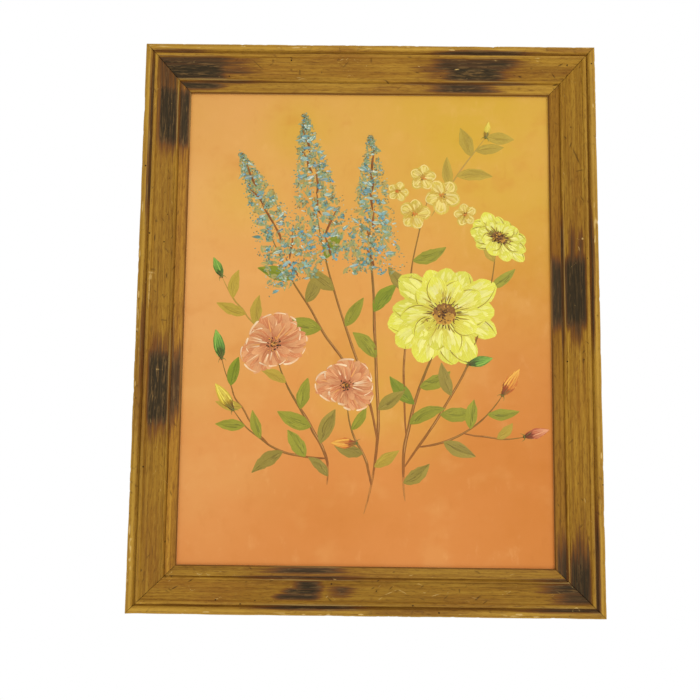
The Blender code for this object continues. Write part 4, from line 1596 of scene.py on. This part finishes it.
def fan_petal(layer, at, degrees, spread, reach, random):
    """One ruffled petal as a fan of strokes with a pale rim."""
    rim = []
    for number in range(FAN_STROKES):
        share = number / (FAN_STROKES - 1) * 2 - 1
        heading = degrees + share * spread
        length = reach * (1 - 0.20 * share ** 2) * random.uniform(0.93, 1.05)
        foot, tip = at(heading, reach * 0.10), at(heading, length)
        rim.append(tip)
        bend = (foot + tip) / 2 + away(heading + 90, random.uniform(-1.2, 1.2))
        body = POPPY_CORAL if number % 2 else POPPY_LIGHT
        width = 2 * math.radians(spread) * reach / FAN_STROKES * 1.5
        path = bowed(foot, bend, tip, count=12)
        layer.stroke(path, width, POPPY_DEEP, body, POPPY_LIGHT, 0.20, "petal", 5)
    for _ in range(5):
        heading = degrees + random.uniform(-0.8, 0.8) * spread
        start = at(heading, reach * random.uniform(0.2, 0.5))
        end = at(heading, reach * random.uniform(0.7, 0.95))
        colour = pick((POPPY_DEEP, POPPY_RIM, POPPY_GOLD, POPPY_LIGHT), random)
        path = bowed(start, end, count=8)
        layer.stroke(path, 1.2, colour, POPPY_LIGHT, body=0.14, shape="line", columns=3)
    edge = bowed(*rim, count=RIM_POINTS) + (np.mean(rim, axis=0) - at(0, 0)) * 0.05
    start = 0
    while start < 0.8 * RIM_POINTS:
        end = start + random.integers(7, 16)
        width = random.uniform(0.8, 1.9)
        layer.stroke(edge[start:end], width, POPPY_RIM, POPPY_LIGHT, POPPY_RIM, 0.24, "line", 4)
        start = end + random.integers(0, 5)


def poppy(layer, at, radius, turn, random):
    """An open poppy: large petals, smaller ones over them and a dark eye."""
    for degrees, spread, reach in POPPY_PETALS:
        fan_petal(layer, at, degrees + turn, spread, radius * reach, random)
    for _ in range(40):
        spread = 0.05 + 0.15 * random.random()
        place = at(random.uniform(0, 360), radius * spread)
        colour = pick((EYE_DARK, EYE_BROWN, POPPY_GOLD, EYE_DARK), random)
        step = away(random.uniform(0, 360), random.uniform(1.0, 2.4))
        path = bowed(place, place + step, count=4)
        layer.stroke(path, random.uniform(0.8, 1.4), colour, body=0.26, columns=3)


def paint_poppies():
    """Both poppies."""
    layer = PaintLayer("painted_poppies")
    random = np.random.default_rng(51)
    poppy(layer, turned_aside((-88, -20), 120, 0.76), 37, 12, random)
    poppy(layer, turned_aside((-19, -58), 80, 0.84), 31, -24, random)
    layer.finish(oil_paint)


paint_poppies()

# %% [markdown]
# ## Cream blossoms and buds
#
# Small cream blossoms with an orange eye fill the gap between the spires and the sun flowers, and buds
# end the side stems. A bud is a few strokes from a dark cup to a bright point, and its cup is a handful
# of short green and brown strokes that hold it.

# %% Blossoms
CREAM = tone(210, 184, 68)
CREAM_LIGHT = tone(224, 202, 106)
CREAM_DEEP = tone(192, 150, 50)
CREAM_RIM = tone(232, 208, 128)
# Each blossom: its middle in millimetres, its radius and its turn in degrees.
BLOSSOMS = [(44, 106, 15, 10), (70, 124, 17, 50), (52, 142, 13, 80), (92, 106, 11, 30), (28, 128, 10, 0)]
CREAM_TONES = (CREAM, CREAM_LIGHT, CREAM_DEEP, CREAM_RIM)
EYE_ORANGE = tone(214, 120, 44)
RUFFLE = ((-30, 0.7), (0, 1.28), (30, 0.7))


def paint_blossoms():
    """Five-petalled blossoms with pale rims."""
    layer = PaintLayer("painted_blossoms")
    random = np.random.default_rng(61)
    for x, z, radius, turn in BLOSSOMS:
        middle = np.array([x, z], float)
        for number in range(5):
            degrees = turn + 72 * number + random.uniform(-8, 8)
            tip = middle + away(degrees, radius * random.uniform(0.92, 1.08))
            petal(layer, middle, tip, radius * 0.86, CREAM_TONES, random, lines=4, edge=None)
            rim = bowed(*[middle + away(degrees + lean, radius * reach) for lean, reach in RUFFLE], count=10)
            layer.stroke(rim, 1.1, CREAM_RIM, CREAM_RIM, CREAM_LIGHT, 0.18, "line", 3)
        for _ in range(14):
            place = middle + away(random.uniform(0, 360), radius * 0.18 * random.random())
            colour = pick((EYE_GOLD, EYE_BROWN, EYE_ORANGE), random)
            step = away(random.uniform(0, 360), random.uniform(0.9, 1.8))
            layer.stroke(bowed(place, place + step, count=4), 1.1, colour, body=0.22, columns=3)
    layer.finish(oil_paint)


paint_blossoms()

# %% Buds
BUD_COLOURS = {
    "green": (tone(104, 150, 54), tone(146, 186, 78), tone(70, 104, 40)),
    "orange": (tone(222, 140, 50), tone(236, 178, 76), tone(186, 84, 36)),
    "yellow": (tone(214, 186, 52), tone(234, 214, 92), tone(178, 140, 40)),
    "coral": (tone(208, 112, 66), tone(232, 164, 118), tone(160, 66, 38)),
}
# Each bud: its stem, how far up, its lean from the stem in degrees, its length and its colour.
BUDS = [
    ("buds_right", 1.0, 0, 30, "orange"), ("buds_left", 1.0, 0, 30, "yellow"),
    ("twig_left", 1.0, 0, 28, "green"), ("twig_right", 1.0, 0, 24, "coral"),
    ("ghost_left", 1.0, 0, 20, "green"), ("poppy_low", 0.55, 62, 24, "orange"),
    ("sun_turned", 0.60, -54, 24, "green"), ("ghost_high", 1.0, 24, 16, "yellow"),
]
CUP_BROWN = tone(92, 66, 30)
CUP_GREEN = tone(112, 118, 50)


def bud(layer, foot, degrees, length, colours, random):
    """A pointed bud in its cup."""
    body, light, deep = colours
    tip = foot + away(degrees, length)
    path = bowed(foot, (foot + tip) / 2, tip, count=12)
    layer.stroke(path, length * 0.40, deep, body, light, 0.24, "leaf", 7)
    for shift in (-0.20, -0.06, 0.08, 0.20):
        side = away(degrees + 90, shift * length * 0.5)
        path = bowed(foot + away(degrees, length * 0.1) + side, (foot + tip) / 2 + side * 1.8, tip, count=9)
        layer.stroke(path, 1.3, pick((body, light, deep), random), light, body, 0.16, "line", 4)
    for number in range(8):
        lean = (number / 7 * 2 - 1) * 26
        end = foot + away(degrees + lean, length * random.uniform(0.30, 0.48))
        colour = pick((CUP_BROWN, CUP_GREEN, EYE_DARK), random)
        path = bowed(foot - away(degrees, 1.5), end, count=6)
        layer.stroke(path, 1.0, colour, deep, colour, 0.18, "line", 3)
    for lean in (130, -135):
        curl = bowed(foot, foot + away(degrees + lean * 0.6, 3.0), foot + away(degrees + lean, 5.0), count=6)
        layer.stroke(curl, 1.0, CUP_GREEN, body=0.12, shape="taper", columns=3)


def paint_buds():
    """Buds at the ends of side stems, and a few between the leaves."""
    layer = PaintLayer("painted_buds")
    random = np.random.default_rng(71)
    for stem, share, lean, length, colour in BUDS:
        foot, heading = stem_point(stem, share)
        bud(layer, foot, heading + lean, length, BUD_COLOURS[colour], random)
    layer.finish(oil_paint)


paint_buds()
print("paint stands", round(float(relief_map.max()), 2), "mm proud at most")

# %% [markdown]
# ## Metal fittings
#
# The sawtooth hanger, its nails and the framer's points are cheap zinc-plated steel. They keep the packed
# model's exact shapes. Their material is metallic and fairly rough, with a faint crystalline mottling and
# fine scratches in its gloss, and a little brown bloom.

# %% Zinc-plated steel
ZINC_DARK = tone(164, 166, 168)
ZINC_LIGHT = tone(196, 197, 196)
ZINC_BLOOM = tone(136, 108, 76)
ZINC_BUMP = 0.02 * MM


def zinc_material():
    """Dull plated steel with mottled gloss."""
    material, tree, shader = new_material("zinc_plated_steel")
    place = put(tree, "TexCoord").outputs["Object"]
    flakes = put(tree, "TexVoronoi", {"Vector": place, "Scale": 420.0}).outputs["Color"]
    share = product(tree, put(tree, "RGBToBW", {0: flakes}).outputs[0], 0.5)
    colour = mix(tree, share, ZINC_DARK, ZINC_LIGHT)
    bloom = cloud(tree, place, (260, 260, 260), 4.0, 0.7)
    colour = tinted(tree, colour, ZINC_BLOOM, bloom, 0.58, 0.80, 0.55)
    tree.links.new(colour, shader.inputs["Base Color"])
    shader.inputs["Metallic"].default_value = 1.0
    scratches = cloud(tree, place, (300, 2600, 2600), 2.0)
    tree.links.new(calc(tree, "MULTIPLY_ADD", scratches, 0.30, 0.26), shader.inputs["Roughness"])
    bump(tree, shader, scratches, ZINC_BUMP)
    return material


zinc = zinc_material()
FITTINGS = [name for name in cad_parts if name.startswith(("sawtooth", "hanger", "point"))]
for name in FITTINGS:
    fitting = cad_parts[name]
    fitting.data.materials.clear()
    fitting.data.materials.append(zinc)
print("fittings dressed:", len(FITTINGS))

# %% [markdown]
# ## Floor, room and lights
#
# The picture hangs free in a plain studio, over a pale floor. The white beyond it is the world's own
# light. In front of the picture the world is dimmer, and two soft lamps do the work: one on the right and
# a little above, which brings out the bead and the brushwork, and a weaker one low on the left that keeps
# the shadows open.

# %% Studio
FLOOR_BELOW = 1.0
FLOOR_SIZE = 3.2
FLOOR_DARK = tone(226, 225, 222)
FLOOR_LIGHT = tone(234, 233, 230)
WORLD_BEHIND = 1.0
WORLD_IN_FRONT = 0.66
# Each lamp: its name, its offset from the picture's middle and its size in metres, its power in watts,
# its colour.
LAMPS = [
    ("key_lamp", (0.75, -1.5, 0.4), 0.8, 12.0, (1.0, 0.98, 0.94)),
    ("fill_lamp", (-0.5, -1.4, -0.8), 1.0, 5.0, (1.0, 0.99, 0.97)),
]


def studio_floor():
    """A pale floor below the picture, out of the camera's view."""
    mesh = bpy.data.meshes.new("studio_floor")
    half = FLOOR_SIZE / 2
    level = OUTER_BOTTOM - FLOOR_BELOW
    corners = [(-half, -half, level), (half, -half, level), (half, half, level), (-half, half, level)]
    mesh.from_pydata(corners, [], [(0, 1, 2, 3)])
    material, tree, shader = new_material("pale_floor")
    mottle = cloud(tree, put(tree, "TexCoord").outputs["Object"], (3, 3, 3))
    tree.links.new(mix(tree, mottle, FLOOR_DARK, FLOOR_LIGHT), shader.inputs["Base Color"])
    shader.inputs["Roughness"].default_value = 0.8
    mesh.materials.append(material)
    floor = bpy.data.objects.new("studio_floor", mesh)
    bpy.context.scene.collection.objects.link(floor)


def studio_world():
    """White behind the picture, dimmer in front of it."""
    world = bpy.data.worlds.new("studio")
    bpy.context.scene.world = world
    world.use_nodes = True
    tree = world.node_tree
    direction = put(tree, "TexCoord").outputs["Generated"]
    toward_back = put(tree, "SeparateXYZ", {0: direction}).outputs["Y"]
    share = soft_step(tree, toward_back, -0.25, 0.25)
    strength = calc(tree, "MULTIPLY_ADD", share, WORLD_BEHIND - WORLD_IN_FRONT, WORLD_IN_FRONT)
    tree.links.new(strength, tree.nodes["Background"].inputs["Strength"])
    tree.nodes["Background"].inputs["Color"].default_value = (1.0, 1.0, 1.0, 1.0)


def soft_lamp(name, offset, size, power, colour):
    """A square lamp at an offset from the picture's middle, aimed at it."""
    data = bpy.data.lights.new(name, "AREA")
    data.size = size
    data.energy = power
    data.color = colour
    lamp = bpy.data.objects.new(name, data)
    lamp.location = CENTRE + Vector(offset)
    lamp.rotation_euler = (CENTRE - lamp.location).to_track_quat("-Z", "Y").to_euler()
    bpy.context.scene.collection.objects.link(lamp)


studio_floor()
studio_world()
for lamp in LAMPS:
    soft_lamp(*lamp)
bpy.context.scene.view_settings.view_transform = "Standard"
print("studio ready")
